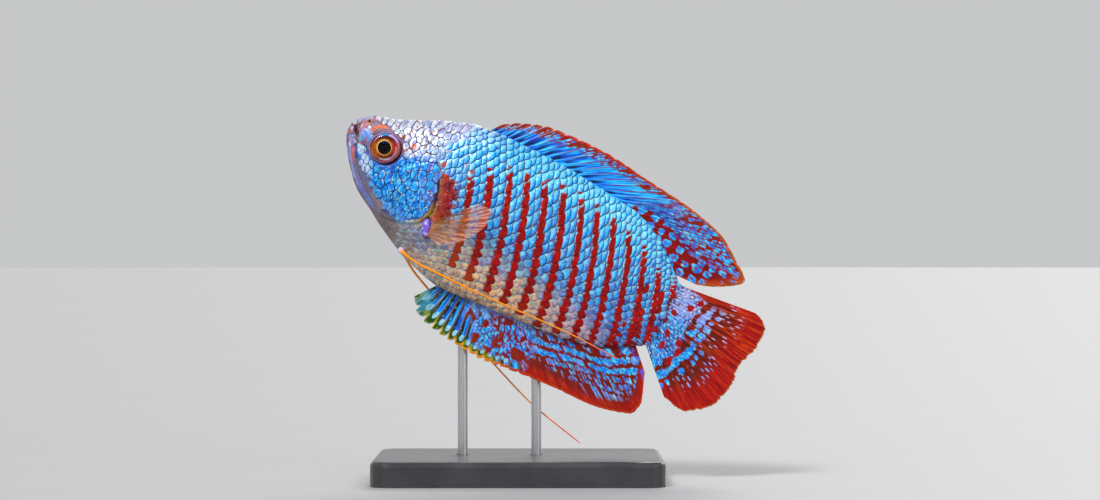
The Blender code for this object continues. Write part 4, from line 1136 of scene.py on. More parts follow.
# Fins. Each row: ray number, s where it leaves the body, then s and h of its tip
DORSAL_RAYS = 25
DORSAL = (
    (0, 19.0, 20.3, 14.2),
    (2, 21.0, 23.4, 16.2),
    (5, 24.3, 28.4, 17.8),
    (9, 30.3, 37.1, 18.4),
    (13, 36.0, 45.0, 17.8),
    (16, 40.7, 51.5, 17.4),
    (19, 46.0, 59.0, 16.0),
    (21, 49.5, 64.2, 13.0),
    (22, 51.5, 66.5, 11.1),
    (23, 54.0, 63.2, 8.3),
    (24, 56.2, 60.2, 6.95),
)
ANAL_RAYS = 32
ANAL = (
    (0, 23.8, 21.4, -16.7),
    (1, 24.9, 22.7, -18.5),
    (2, 25.9, 24.6, -19.5),
    (4, 27.9, 27.8, -20.0),
    (9, 32.6, 34.8, -20.4),
    (13, 36.3, 40.4, -19.6),
    (17, 40.0, 48.0, -18.6),
    (20, 43.0, 54.6, -18.1),
    (24, 47.0, 58.4, -17.2),
    (27, 50.8, 61.2, -15.9),
    (29, 53.6, 61.5, -14.2),
    (31, 56.3, 59.6, -9.4),
)
CAUDAL_RAYS = 17
CAUDAL = (
    (0, 5.5, 70.6, 7.6),
    (1, 4.9, 72.2, 7.1),
    (2, 4.3, 73.4, 5.9),
    (4, 3.0, 73.5, 3.1),
    (7, 1.0, 72.4, -1.6),
    (9, -0.4, 72.9, -4.2),
    (12, -2.6, 71.9, -8.3),
    (14, -4.0, 69.2, -11.1),
    (15, -4.7, 67.6, -11.9),
    (16, -5.3, 64.4, -11.5),
)
PECTORAL_RAYS = 10
PECTORAL = (
    (0, 18.3, -4.9, 23.2, 1.0),
    (2, 18.4, -5.3, 25.6, 1.6),
    (4, 18.5, -5.8, 26.2, -0.9),
    (6, 18.6, -6.3, 25.2, -3.6),
    (8, 18.7, -6.9, 22.9, -6.4),
    (9, 18.8, -7.2, 21.0, -7.6),
)
PECTORAL_LIFT = 0.7
PECTORAL_LEAN = 0.22
PAD_CENTRE = (17.95, -6.05)
PAD_RADII = (0.8, 0.95, 1.85)
PAD_TURN = math.radians(25.0)


def ridge_point(s, away, edge):
    """A point beyond the back (edge 0) or belly (edge 1) by this distance."""
    near = 0.05
    way = 1 if edge == 0 else -1
    rise = (section(s + near)[edge] - section(s - near)[edge]) / (2 * near)
    length = np.hypot(1, rise)
    return s - way * away * rise / length, section(s)[edge] + way * away / length


def fin(name, look, slot, node, rays, columns, steps, ends, membrane, crest, edge, sway, paint, split=0.55):
    """A fin as one closed sheet, its rays ridges that fork towards the edge.

    ends gives root and tip of a ray from its number, membrane half the thickness at v, and edge how
    much of a ray's length the membrane reaches beside it.
    """
    fine = np.linspace(0, rays - 1, 4001)
    root_s, root_h, tip_s, tip_h = ends(fine)
    middle = root_s + 0.75 * (tip_s - root_s), root_h + 0.75 * (tip_h - root_h)
    run = np.concatenate(([0], np.cumsum(np.hypot(np.diff(middle[0]), np.diff(middle[1])))))
    x = np.interp(np.linspace(0, run[-1], columns), run, fine)
    v = np.linspace(0, 1, steps + 1)
    root_s, root_h, tip_s, tip_h = ends(x)
    length = np.hypot(tip_s - root_s, tip_h - root_h)
    short = edge(x, length)
    x, v = np.meshgrid(x, v, indexing="ij")
    reach = v * short[:, None]
    length = length[:, None]
    s = root_s[:, None] + (tip_s - root_s)[:, None] * reach
    h = root_h[:, None] + (tip_h - root_h)[:, None] * reach
    base = reach * length
    margin = (1 - v) * length * short[:, None]
    fork = 0.2 * smooth(split, 1.0, v)
    away = np.minimum(np.abs(np.abs(x - np.round(x)) - fork), 0.5)
    ridge = np.exp(-((away / 0.13) ** 2))
    tint, cover, raised = paint(*(a.ravel() for a in (x, v, base, margin, s, h)))
    half = membrane(reach) + crest * (1 - 0.65 * v) * ridge + raised.reshape(x.shape)
    half = half * smooth(1.03, 0.93, v) + 0.05
    w = sway(x, reach)
    front = np.stack((s, w + half, h), axis=-1).reshape(-1, 3)
    rear = np.stack((s, w - half, h), axis=-1).reshape(-1, 3)
    rows, count = s.shape
    size = rows * count
    faces = grid_faces(rows, count)
    faces += [tuple(size + k for k in reversed(face)) for face in faces]
    rim = list(range(count)) + [r * count + count - 1 for r in range(1, rows)]
    rim += [(rows - 1) * count + c for c in range(count - 2, -1, -1)]
    rim += [r * count for r in range(rows - 2, 0, -1)]
    faces += [(a, b, size + b, size + a) for a, b in zip(rim, rim[1:] + rim[:1])]
    tint = tint * (0.90 + 0.16 * ridge.ravel())[:, None]
    ray = np.column_stack((x.ravel(), base.ravel(), np.zeros(size)))
    both = lambda values: np.concatenate((values, values))
    return make(
        name, np.vstack((front, rear)), faces, look, slot, node, tint=both(tint), ray=both(ray), cover=both(cover)
    )


def lappets(x, depth):
    """The edge of a spiny stretch: behind each spine it falls away, down to the next spine."""
    after = x - np.floor(x)
    t = np.clip((after - 0.12) / 0.86, 0, 1)
    return depth * (1 - np.sqrt(1 - t**2.4)) * smooth(1.0, 0.95, after)


def frills(x, length, height):
    """Small uneven teeth, this many millimetres high, given as parts of a ray's length."""
    teeth = 0.6 * noise(x * 3.0, 0 * x, 30.0) + 0.4 * noise(x * 7.0, 0 * x, 31.0)
    return height * teeth / length


def between_rays(x):
    return np.abs(x - np.round(x))


FIN_RED = rgb(138, 3, 1)
FIN_RUST = rgb(128, 30, 5)
FIN_BLUE = rgb(10, 140, 250)
FIN_CYAN = rgb(50, 196, 255)


def fin_cell(x, base, luck, lilac=0.0):
    """Blue of the shimmering cells on the fins, with lighter and darker flecks."""
    fleck = noise(x * 5.0, base * 3.2, 49.0)
    tone = mix(rgb(8, 120, 236), FIN_CYAN, smooth(0.35, 0.65, fleck))
    tone = mix(tone, rgb(80, 110, 236), 0.5 * smooth(0.60, 0.80, noise(x * 1.6, base * 1.2, 48.0)))
    tone = mix(tone, rgb(176, 168, 240), lilac)
    # The palest flecks are painted glints on the shimmering cells
    return mix(tone, ICE, 0.7 * smooth(0.74, 0.90, fleck)) * (0.80 + 0.25 * luck)[..., None]


def dorsal_paint(x, v, base, margin, s, h):
    """Azure streaks with dark gaps, red and rust outside them, then blue dashes and an orange edge."""
    gap = smooth(0.10, 0.34, between_rays(x))
    streak = noise(x * 7.0, base * 0.45, 41.0)
    wide = noise(x * 2.2, base * 0.30, 42.0)
    tone = mix(FIN_BLUE, FIN_CYAN, smooth(0.50, 0.78, streak))
    tone = mix(tone, DEEP_BLUE, smooth(0.48, 0.22, streak))
    # Painted shade: near-black navy between the rays near the base, where they shade the membrane
    tone = mix(tone, NAVY * 0.6, 0.95 * smooth(0.35, 0.55, wide) * smooth(3.6, 1.2, base) * gap)
    tone = mix(tone, FIN_RUST, 0.8 * smooth(0.12, 0.04, between_rays(x)) * smooth(1.5, 4.0, base))
    rust = mix(rgb(146, 18, 6), rgb(128, 50, 16), noise(x * 2.5, base, 44.0))
    rust = mix(rust, FIN_RED, smooth(0.55, 0.75, noise(x * 1.3, base * 0.8, 45.0)))
    lane = x * 3.0 + 0.5
    dash = spots(lane, base / 1.7 + 0.37 * np.floor(lane), 45.0, 0.34, 0.44, 0.78, 0.3, 0.15)
    start = np.interp(x, (0, 5, 10, 15, 20), (0.46, 0.60, 0.74, 0.76, 0.50))
    outer = smooth(start - 0.02, start + 0.04, v + 0.30 * (noise(x * 1.9, base * 0.5, 46.0) - 0.5))
    cell = fin_cell(x, base, wide)
    marks = dash * smooth(0.55, 1.1, margin)
    tone = mix(tone, mix(rust, cell, marks), outer)
    raised = 0.03 * marks * outer
    rear = smooth(15.0, 18.5, x) * smooth(1.5, 4.0, base)
    beads = spots(x * 4.0, base / 1.2 + 0.4 * np.floor(x * 4.0), 47.0, 0.38, 0.42, 0.86, 0.3, 0.15)
    beads = beads * smooth(0.45, 0.9, margin)
    near = smooth(8.5, 4.5, base + 0.6 * (x - 20))
    chain = mix(mix(FIN_RUST, FIN_RED, smooth(18, 22, x)), rgb(50, 30, 130), near)
    tone = mix(tone, mix(chain, cell, beads * (1 - 0.35 * near)), rear)
    raised = raised * (1 - rear) + 0.03 * beads * rear
    low = smooth(21.7, 22.0, x + 0.04 * (noise(x * 3, base, 50.0) - 0.5))
    root = smooth(4.6, 4.0, base - 0.5 * (x - 19)) * smooth(17.0, 17.8, x)
    lobe = np.maximum(low, root)
    p, q = (s - 51.8) / 2.0, h / 1.38
    ring = spots(p, q, 62.0, 0.31, 0.38, 0.90, 0.32, 0.30)
    hollow = spots(p, q, 62.0, 0.12, 0.15, 0.90, 0.32) * low
    field = mix(FIN_RED, DARK_RED, smooth(0.45, 0.7, noise(x * 6, base * 0.6, 63.0)))
    field = mix(field, rgb(170, 52, 6), smooth(3.0, 1.0, margin) * low)
    fade = smooth(2.2, 3.6, margin) + 0.8 * dash * smooth(3.4, 2.2, margin)
    ring = np.clip(ring * np.maximum(fade, root), 0, 1)
    tone = mix(tone, mix(field, mix(cell, FIN_RED, 0.8 * hollow), ring), lobe)
    raised = raised * (1 - lobe) + 0.03 * ring * lobe
    rim = mix(mix(rgb(140, 44, 16), rgb(196, 44, 4), smooth(3, 7, x)), rgb(176, 78, 10), smooth(12, 17, x))
    width = np.interp(x, (0, 5, 12, 20), (0.30, 0.55, 0.60, 0.7))
    tone = mix(tone, rim, 0.95 * smooth(width + 0.12, width - 0.15, margin + 0.3 * (streak - 0.5)))
    spine = smooth(0.08, 0.03, between_rays(x)) * smooth(6.5, 3.0, x) * smooth(0.40, 0.75, v)
    tone = mix(tone, rgb(206, 180, 206), 0.7 * spine)
    tips = smooth(0.12, 0.05, between_rays(x)) * smooth(0.35, 0.15, margin)
    tone = mix(tone, rgb(210, 180, 180), 0.7 * tips)
    return tone, np.ones(len(x)), raised


def anal_paint(x, v, base, margin, s, h):
    """Blue with black gaps and pearls on green lappets in front, then a mosaic, then red with blue rows."""
    after = x - np.floor(x)
    streak = noise(x * 7.0, base * 0.5, 51.0)
    speck = noise(x * 6.0, base * 2.4, 52.0)
    azure = mix(FIN_BLUE, FIN_CYAN, smooth(0.5, 0.75, streak))
    azure = mix(azure, DEEP_BLUE, smooth(0.42, 0.2, streak))
    dark = mix(rgb(14, 22, 30), rgb(70, 62, 44), smooth(0.5, 0.8, streak))
    dark = mix(dark, FIN_CYAN, 0.8 * smooth(0.74, 0.84, speck))
    tone = mix(dark, azure, smooth(0.38, 0.50, after + 0.25 * (noise(x * 1.1, base * 0.6, 50.0) - 0.5)))
    tone = mix(tone, rgb(110, 84, 66), 0.9 * smooth(0.14, 0.07, between_rays(x)))
    big = smooth(5.0, 1.0, x)
    green = mix(rgb(120, 136, 18), rgb(24, 72, 16), smooth(0.30, 0.60, noise(x * 4, base * 1.6, 53.0)))
    leaf = smooth(1.7 + 0.8 * big, 1.2 + 0.8 * big, margin) * smooth(13.0, 10.5, x)
    tone = mix(tone, green, leaf)
    centre = 1.25 + 0.75 * big
    pearl = ((after - 0.60) / 0.27) ** 2 + ((margin - centre) / (0.52 + 0.25 * big)) ** 2
    pearl = smooth(1.15, 0.80, pearl) * smooth(13.5, 12.5, x)
    tone = mix(tone, mix(rgb(104, 190, 226), rgb(190, 232, 252), speck), 0.9 * pearl)
    outer = smooth(0.26, 0.10, margin) * smooth(0.25, 0.5, after) * smooth(9, 5, x)
    tone = mix(tone, rgb(196, 206, 180), 0.6 * outer)
    spine = np.minimum(after, 1 - after)
    gold = smooth(0.11, 0.05, spine) * smooth(1.1, 0.5, margin) * smooth(12, 9, x) * smooth(1.5, 3.0, x)
    tone = mix(tone, rgb(230, 160, 26), 0.9 * gold)
    front = smooth(2.2, 1.2, x) * smooth(0.2, 0.45, v)
    tone = mix(tone, mix(rgb(70, 158, 196), green, smooth(0.4, 0.6, streak)), 0.55 * front)
    raised = 0.04 * pearl
    middle = smooth(6.3, 7.6, x + 0.22 * (4.5 - base) + 2.0 * (noise(x * 0.7, base * 0.7, 54.0) - 0.5))
    middle = middle * smooth(0.9, 1.7, margin)
    cell = fin_cell(x, base, streak, 0.35 * smooth(0.4, 0.7, noise(x * 0.8, base * 0.8, 55.0)))
    mosaic = spots(x * 1.9 + 0.3 * np.sin(base * 2), base / 0.85 + 0.5 * np.floor(x * 1.9 + 0.3 * np.sin(base * 2)), 56.0, 0.45, 0.45, 0.95, 0.5, 0.5)
    blotch = noise(x * 1.1, base * 0.75, 57.0) + 0.25 * (noise(x * 2.2, base * 2.0, 58.0) - 0.5)
    patch = smooth(0.62, 0.66, blotch)
    red = mix(FIN_RED, rgb(130, 40, 8), noise(x * 1.7, base * 1.2, 59.0))
    shade = mix(rgb(96, 60, 92), FIN_RED * 0.8, smooth(9, 13, x))
    inner = mix(mix(shade, cell, mosaic), red, patch)
    tone = mix(tone, inner, middle)
    raised = raised * (1 - middle) + 0.03 * mosaic * (1 - patch) * middle
    rear = smooth(15.2, 16.6, x + 1.2 * (noise(x * 0.9, base * 0.9, 60.0) - 0.5) + 0.35 * (base - 4.5))
    wave = base + 0.22 * np.sin(x * 0.9) - 0.15
    order = np.interp(wave, (0, 0.85, 2.65, 4.5, 6.1, 7.3, 8.5, 9.7), (0, 0.5, 1.5, 2.5, 3.5, 4.5, 5.5, 6.5))
    chain = spots(x * 1.9, order, 64.0, 0.52, 0.34, 0.95, 0.25, 0.22)
    double = x * 3.2 + 0.3 * np.floor(order)
    dashes = spots(double, order, 65.0, 0.34, 0.38, 0.72, 0.35, 0.12)
    ovals = spots(x * 0.5 + 0.2, order, 66.0, 0.22, 0.42, 0.75, 0.3) * (order < 1)
    marks = np.where(order < 3, chain * (1 - ovals), dashes) * smooth(1.6, 2.8, margin - 0.05 * (x - 20))
    marks = marks * smooth(14.5, 17.5, x + 1.5 * (3.2 - order))
    field = mix(rgb(124, 2, 1), rgb(116, 26, 2), noise(x * 2.2, base * 0.8, 67.0))
    field = mix(field, rgb(160, 12, 0), smooth(3.0, 0.8, margin))
    field = mix(field, rgb(184, 56, 2), 0.6 * smooth(0.6, 0.8, streak) * smooth(3.6, 1.5, margin))
    tone = mix(tone, mix(field, cell, marks), rear)
    raised = raised * (1 - rear) + 0.03 * marks * rear
    root = smooth(1.1, 0.7, base + 0.5 * noise(x * 1.2, 0 * x, 61.0)) * smooth(6.0, 8.0, x) * smooth(18, 15, x)
    tone = mix(tone, mix(cell, LAVENDER, 0.4), 0.8 * root)
    strip = smooth(30.3, 30.6, x)
    tone = mix(tone, rgb(90, 90, 226), 0.85 * strip * smooth(0.35, 0.55, noise(base * 1.3, x, 62.0)))
    rim = mix(rgb(230, 146, 20), rgb(190, 50, 2), smooth(9, 14, x))
    edge = 0.28 + 0.2 * smooth(4, 10, x)
    tone = mix(tone, rim, smooth(edge + 0.1, edge - 0.12, margin) * smooth(4, 7, x))
    return tone, np.ones(len(x)), raised


CAUDAL_SPOTS = (
    (3.8, 3.6),
    (2.2, 4.6),
    (10.2, 4.75),
    (11.4, 5.5),
    (13.2, 5.2),
    (8.6, 0.8),
    (10.4, 2.3),
    (12.6, 2.6),
    (6.3, 1.6),
)


def caudal_paint(x, v, base, margin, s, h):
    """Blue and lilac scales at the root, rows of blue cells, then red rays to a thin tan edge."""
    streak = noise(x * 8.0, base * 0.35, 71.0)
    field = mix(rgb(112, 1, 2), rgb(96, 24, 2), noise(x * 2.2, base * 0.5, 72.0))
    field = mix(field, rgb(164, 3, 0), smooth(6.0, 3.0, margin + 1.6 * (streak - 0.5)))
    warm = smooth(10, 4, x) * smooth(2.0, 6.0, base)
    field = mix(field, rgb(206, 62, 2), (0.22 + 0.6 * warm) * smooth(0.55, 0.78, streak))
    field = mix(field, rgb(196, 34, 2), 0.8 * smooth(1.6, 0.6, x))
    field = mix(field, field * 0.6, smooth(0.35, 0.15, streak) * smooth(2, 5, base))
    upper = np.maximum(8 - x, 0)
    lower = np.maximum(x - 8, 0)
    rows = (base - 0.20 * upper + 0.19 * lower) / 1.6
    below = smooth(7.9, 9.3, x)
    lilac = smooth(8.0, 3.5, x)
    cell = fin_cell(x * 1.2, base, streak, 0.75 * lilac)
    ripple = rows + 0.10 * np.sin(x * 1.7)
    links = spots(x * 1.15, ripple, 73.0, 0.56, 0.36, 0.95, 0.2, 0.25)
    hearts = spots(x * 0.95 + 0.3, ripple, 74.0, 0.34, 0.32, 0.80, 0.3, 0.25)
    first = (ripple > 3) & (ripple < 4)
    second = (ripple >= 4) & (ripple < 5)
    third = (ripple >= 5) & (ripple < 6)
    marks = links * (first * (1 - below) + second * below) + hearts * (second * (1 - below) + third * below)
    marks = marks * smooth(1.4, 2.6, x)
    lane = x * 2.0 + 0.5
    dashes = spots(lane, base / 1.3 + 0.45 * np.floor(lane), 75.0, 0.15, 0.30, 0.62, 0.4)
    dashes = dashes * smooth(3.0, 4.6, margin) * (rows > 4.6 + 0.9 * below) * (1 - marks)
    tone = mix(field, cell, marks)
    tone = mix(tone, mix(rgb(214, 176, 216), rgb(120, 176, 250), smooth(6, 10, x)), 0.9 * dashes)
    shore = 2.72 + 0.85 * below + 0.5 * (noise(x * 1.3, 0 * x, 76.0) - 0.5)
    root = smooth(shore + 0.08, shore - 0.08, rows) * smooth(0.2, 1.0, x + 0.45 * (3.0 - base))
    small = spots(x * 1.5, base / 0.85 + 0.5 * np.floor(x * 1.5), 77.0, 0.47, 0.47, 1.0, 0.22, 0.15)
    silver = mix(rgb(110, 160, 240), rgb(186, 186, 240), noise(x * 1.1, base * 1.1, 78.0))
    silver = mix(silver, cell, smooth(5.0, 9.0, x + 0.6 * base))
    silver = mix(silver, WHITE, 0.6 * smooth(0.66, 0.82, noise(x * 5, base * 4, 79.0)))
    tone = mix(tone, mix(rgb(84, 40, 96), silver, small), root)
    raised = 0.03 * marks * (1 - root) + 0.05 * small * root
    for spot_x, spot_base in CAUDAL_SPOTS:
        away = np.hypot((x - spot_x) * 0.72, base - spot_base) + 0.20 * noise(x * 3, base * 3, 80.0)
        tone = mix(tone, RED, smooth(0.66, 0.54, away))
    tone = mix(tone, rgb(190, 120, 60), 0.8 * smooth(0.24, 0.10, margin))
    return tone, np.ones(len(x)), raised


def pectoral_paint(x, v, base, margin, s, h):
    """Clear, with amber and brown rays and a pink flush towards the edge. Rays are less clear."""
    fork = np.abs(between_rays(x) - 0.2 * smooth(0.45, 1.0, v))
    ray = smooth(0.16, 0.07, fork)
    tone = mix(rgb(226, 150, 84), rgb(232, 126, 96), smooth(0.45, 0.9, v))
    tone = mix(tone, rgb(150, 116, 92), 0.6 * smooth(2.0, 0.5, x))
    band = noise(x * 0.6, base * 0.9, 81.0)
    amber = mix(rgb(110, 66, 20), rgb(232, 140, 36), smooth(0.35, 0.7, band))
    amber = mix(amber, rgb(236, 190, 170), smooth(0.5, 0.95, v))
    tone = mix(tone, amber, ray)
    cover = 0.16 + 0.50 * ray * smooth(1.2, 0.4, v) + 0.25 * smooth(0.25, 0.0, v) + 0.10 * smooth(0.7, 1.0, v)
    return tone, cover, np.zeros(len(x))


def fins(look, clear):
    """The seven fins but for the two feelers."""

    def dorsal_ends(x):
        s, tip_s, tip_h = curve(DORSAL, x)
        return *ridge_point(s, -0.35, 0), tip_s, tip_h

    def anal_ends(x):
        s, tip_s, tip_h = curve(ANAL, x)
        return *ridge_point(s, -0.35, 1), tip_s, tip_h

    def caudal_ends(x):
        h, tip_s, tip_h = curve(CAUDAL, x)
        return TAIL_S - 0.1 + 0 * h, h, tip_s, tip_h

    def dorsal_edge(x, length):
        spiny = np.interp(x, (0, 3, 6, 10, 12), (0.24, 0.15, 0.07, 0.02, 0.0))
        return 1 - lappets(x, spiny) - frills(x, length, 0.22)

    def anal_edge(x, length):
        spiny = np.interp(x, (0, 2, 4, 8, 13, 16), (0.28, 0.30, 0.19, 0.11, 0.06, 0.0))
        return 1 - lappets(x, spiny) - frills(x, length, 0.18)

    def caudal_edge(x, length):
        return 1 - frills(x * 1.6, length, 0.45)

    fin(
        "fin_dorsal", look, "fin", ("dorsal_fin",), DORSAL_RAYS, 420, 104, dorsal_ends,
        lambda v: 0.06 + 0.22 * (1 - v) ** 1.5, 0.11, dorsal_edge,
        lambda x, v: 0.35 * v * v * np.sin(0.5 * x),
        dorsal_paint,
    )
    fin(
        "fin_anal", look, "fin", ("anal_fin",), ANAL_RAYS, 420, 96, anal_ends,
        lambda v: 0.06 + 0.22 * (1 - v) ** 1.5, 0.10, anal_edge,
        lambda x, v: -0.25 * v * v * (1 + np.sin(0.45 * x)),
        anal_paint,
    )
    fin(
        "fin_caudal", look, "fin", ("caudal_fin",), CAUDAL_RAYS, 280, 130, caudal_ends,
        lambda v: 0.06 + 0.75 * (1 - v) ** 3, 0.12, caudal_edge,
        lambda x, v: 0.5 * v * v * np.sin(0.35 * x),
        caudal_paint, 0.3,
    )
    for side, word in ((-1, "left"), (1, "right")):
        pectoral_fin(side, word, clear)


def pectoral_fin(side, word, clear):
    def ends(x):
        return curve(PECTORAL, x)

    def sway(x, v):
        s0, h0, s1, h1 = curve(PECTORAL, x)
        s, h = s0 + (s1 - s0) * v, h0 + (h1 - h0) * v
        length = np.hypot(s1 - s0, h1 - h0)
        return side * (flank(s, h) + PECTORAL_LIFT + PECTORAL_LEAN * length * v)

    fin(
        "fin_pectoral_" + word, clear, "clear_fin", ("pectoral_fin_" + word,), PECTORAL_RAYS, 130, 60, ends,
        lambda v: 0.04 + 0.12 * (1 - v) ** 1.5, 0.09,
        lambda x, length: 1 - frills(x, length, 0.3), sway, pectoral_paint, 0.4,
    )


def pectoral_pads(look):
    """The lilac fleshy roots of the pectoral fins."""
    for side, word in ((-1, "left"), (1, "right")):
        rows, columns = 28, 40
        polar = np.linspace(0.02, np.pi - 0.02, rows)[:, None]
        turn = np.linspace(0, 2 * np.pi, columns, endpoint=False)[None]
        a = np.cos(turn) * np.sin(polar) * PAD_RADII[0]
        b = np.sin(turn) * np.sin(polar) * PAD_RADII[1]
        c = np.cos(polar) * PAD_RADII[2] + 0 * turn
        ripple = 1 + 0.06 * np.sin(c * 7 + a * 3)
        s = PAD_CENTRE[0] + (a * math.cos(PAD_TURN) - c * math.sin(PAD_TURN)) * ripple
        h = PAD_CENTRE[1] + (a * math.sin(PAD_TURN) + c * math.cos(PAD_TURN))
        w = side * (flank(*PAD_CENTRE) + b * ripple)
        points = np.stack((s, w, h), axis=-1).reshape(-1, 3)
        s, h, c = s.ravel(), h.ravel(), c.ravel()
        tone = mix(rgb(142, 112, 226), rgb(96, 66, 176), noise(s * 2.6, h * 2.6, 85.0))
        tone = mix(tone, rgb(196, 190, 248), smooth(0.62, 0.8, noise(s * 2.0, h * 2.0, 86.0)))
        tone = mix(tone, rgb(20, 16, 34), smooth(1.0, 1.5, c))
        tone = mix(tone, rgb(120, 70, 96), smooth(-1.0, -1.6, c))
        faces = grid_faces(rows, columns, closed_columns=True)
        faces += [tuple(range(columns)), tuple(range((rows - 1) * columns, rows * columns))]
        make("pectoral_root_" + word, points, faces, look, "scaled_skin", tint=tone)


LEFT_FEELER = (
    (16.0, -11.2, 0.0),
    (16.9, -11.45, 1.0),
    (19.4, -11.75, 1.1),
    (23.6, -11.55, 0.9),
    (28.3, -11.3, 0.9),
    (33.4, -10.9, 0.9),
    (40.0, -10.25, 1.0),
    (47.0, -9.7, 1.2),
    (54.7, -9.55, 1.6),
)
RIGHT_FEELER = (
    (16.0, -11.2, 1.7),
    (17.2, -12.1, 2.7),
    (19.9, -13.6, 3.5),
    (25.5, -15.7, 3.8),
    (32.0, -18.05, 3.8),
    (38.2, -20.2, 3.6),
    (46.4, -22.7, 3.1),
    (56.2, -24.4, 2.4),
)
FEELER_ROOT_RADIUS = 0.55
FEELER_RADIUS = 0.21
FEELER_TIP_RADIUS = 0.11


def feelers(look):
    """The thread-like pelvic fins: lilac at the root, then orange, paler and pink at the tip."""
    paths = {
        "left": [(s, -float(flank(s, h)) - away, h) for s, h, away in LEFT_FEELER],
        "right": [(s, w, h) for s, h, w in RIGHT_FEELER],
    }
    for word, given in paths.items():
        path = spline(given, 220)
        sides = 14
        t = np.linspace(0, 1, len(path))
        ahead = np.gradient(path, axis=0)
        ahead /= np.linalg.norm(ahead, axis=1, keepdims=True)
        across = np.cross(ahead, (0.0, 1.0, 0.0))
        across /= np.linalg.norm(across, axis=1, keepdims=True)
        up = np.cross(across, ahead)
        radius = FEELER_RADIUS + (FEELER_TIP_RADIUS - FEELER_RADIUS) * t
        radius = radius + (FEELER_ROOT_RADIUS - FEELER_RADIUS) * np.exp(-((t / 0.09) ** 2))
        radius = radius * (1 + 0.04 * np.sin(t * 260))
        radius[-3:] *= (0.9, 0.65, 0.3)
        turn = np.linspace(0, 2 * np.pi, sides, endpoint=False)
        around = across[:, None] * np.cos(turn)[None, :, None] + up[:, None] * np.sin(turn)[None, :, None]
        points = (path[:, None] + around * radius[:, None, None]).reshape(-1, 3)
        tone = mix(rgb(206, 186, 226), rgb(255, 148, 0), smooth(0.03, 0.10, t))
        tone = mix(tone, rgb(244, 156, 40), smooth(0.5, 0.85, t))
        tone = mix(tone, rgb(240, 110, 86), smooth(0.82, 0.95, t))
        tint = np.repeat(tone, sides, axis=0)
        faces = grid_faces(len(path), sides, closed_columns=True)
        faces += [tuple(range(sides)), tuple(range((len(path) - 1) * sides, len(path) * sides))]
        ray = np.column_stack((np.tile(turn, len(path)), np.repeat(t * 40, sides), np.zeros(len(points))))
        node = "pelvic_feeler_" + word
        make("feeler_" + word, points, faces, look, "feeler", (node,), tint=tint, ray=ray)


def lathe(profile, count):
    """Points of a profile of (radius, height) turned round an axis, with the turn's angle."""
    turn = np.linspace(0, 2 * np.pi, count, endpoint=False)
    radius = np.array([p[0] for p in profile])[:, None]
    height = np.array([p[1] for p in profile])[:, None] + 0 * turn[None]
    return radius * np.cos(turn), radius * np.sin(turn), height, turn


def eye_piece(name, side, profile, paint, look, replaced=(), shift=(0.0, 0.0), oval=1.0):
    """A turned piece of the eye: its profile is closed and starts and ends on the axis or as a ring."""
    count = 96
    across, up, height, turn = lathe(profile, count)
    rows = len(profile)
    s = EYE[0] + shift[0] + across * oval
    h = EYE[1] + shift[1] + up
    points = np.stack((s, side * height, h), axis=-1).reshape(-1, 3)
    solid_ring = profile[0] == profile[-1]
    if solid_ring:
        rows -= 1
        points = points[: rows * count]
    faces = grid_faces(rows, count, closed_rows=solid_ring, closed_columns=True)
    if not solid_ring:
        faces += [tuple(range(count)), tuple(range((rows - 1) * count, rows * count))]
    ds, dh = points[:, 0] - EYE[0] - shift[0], points[:, 2] - EYE[1] - shift[1]
    right = ds * math.cos(PITCH) + dh * math.sin(PITCH)
    top = dh * math.cos(PITCH) - ds * math.sin(PITCH)
    radius = np.hypot(right, top)
    angle = np.arctan2(top, right)
    ray = np.column_stack((angle * 6, radius * 3, 0 * radius))
    tint = paint(radius, right / np.maximum(radius, 1e-6), top / np.maximum(radius, 1e-6), angle)
    return make(name, points, faces, look, "eye", replaced, tint=tint, ray=ray)


def iris_paint(radius, right, top, angle):
    fibre = noise(angle * 9 + 40, radius * 3, 91.0)
    tone = mix(rgb(206, 112, 4), rgb(104, 36, 2), fibre)
    tone = mix(tone, rgb(96, 36, 4), 0.75 * smooth(1.75, 2.05, radius + 0.3 * (fibre - 0.5)))
    tone = mix(tone, rgb(204, 10, 2), smooth(0.0, 0.6, right) * smooth(1.30, 1.6, radius))
    tone = mix(tone, rgb(110, 4, 14), smooth(0.3, 0.8, right) * smooth(1.85, 2.05, radius))
    tone = mix(tone, rgb(70, 8, 20), 0.95 * smooth(0.25, 0.8, top) * smooth(1.3, 1.55, radius))
    tone = mix(tone, rgb(70, 8, 20), 0.95 * smooth(-0.35, -0.85, top) * smooth(1.3, 1.5, radius))
    tone = mix(tone, rgb(240, 160, 16), 0.85 * smooth(1.42, 1.22, radius) * smooth(0.9, 0.2, right))
    tone = mix(tone, rgb(90, 30, 6), 0.7 * smooth(2.0, 2.12, radius) * smooth(0.2, -0.6, right))
    low = smooth(0.15, -0.05, top) * smooth(-0.15, 0.15, right) * np.exp(-(((radius - 1.95) / 0.16) ** 2))
    tone = mix(tone, rgb(222, 160, 190), 0.9 * low)
    spot = smooth(-0.85, -0.95, top) * np.exp(-(((radius - 1.87) / 0.10) ** 2))
    tone = mix(tone, rgb(232, 220, 236), 0.9 * spot)
    ember = smooth(-0.45, -0.6, top) * smooth(-0.3, -0.5, right) * np.exp(-(((radius - 1.78) / 0.14) ** 2))
    tone = mix(tone, rgb(214, 90, 10), 0.9 * ember)
    glint = smooth(0.92, 0.98, top) * np.exp(-(((radius - 2.05) / 0.12) ** 2))
    tone = mix(tone, rgb(40, 150, 224), glint)
    return tone * (0.8 + 0.4 * fibre)[:, None]


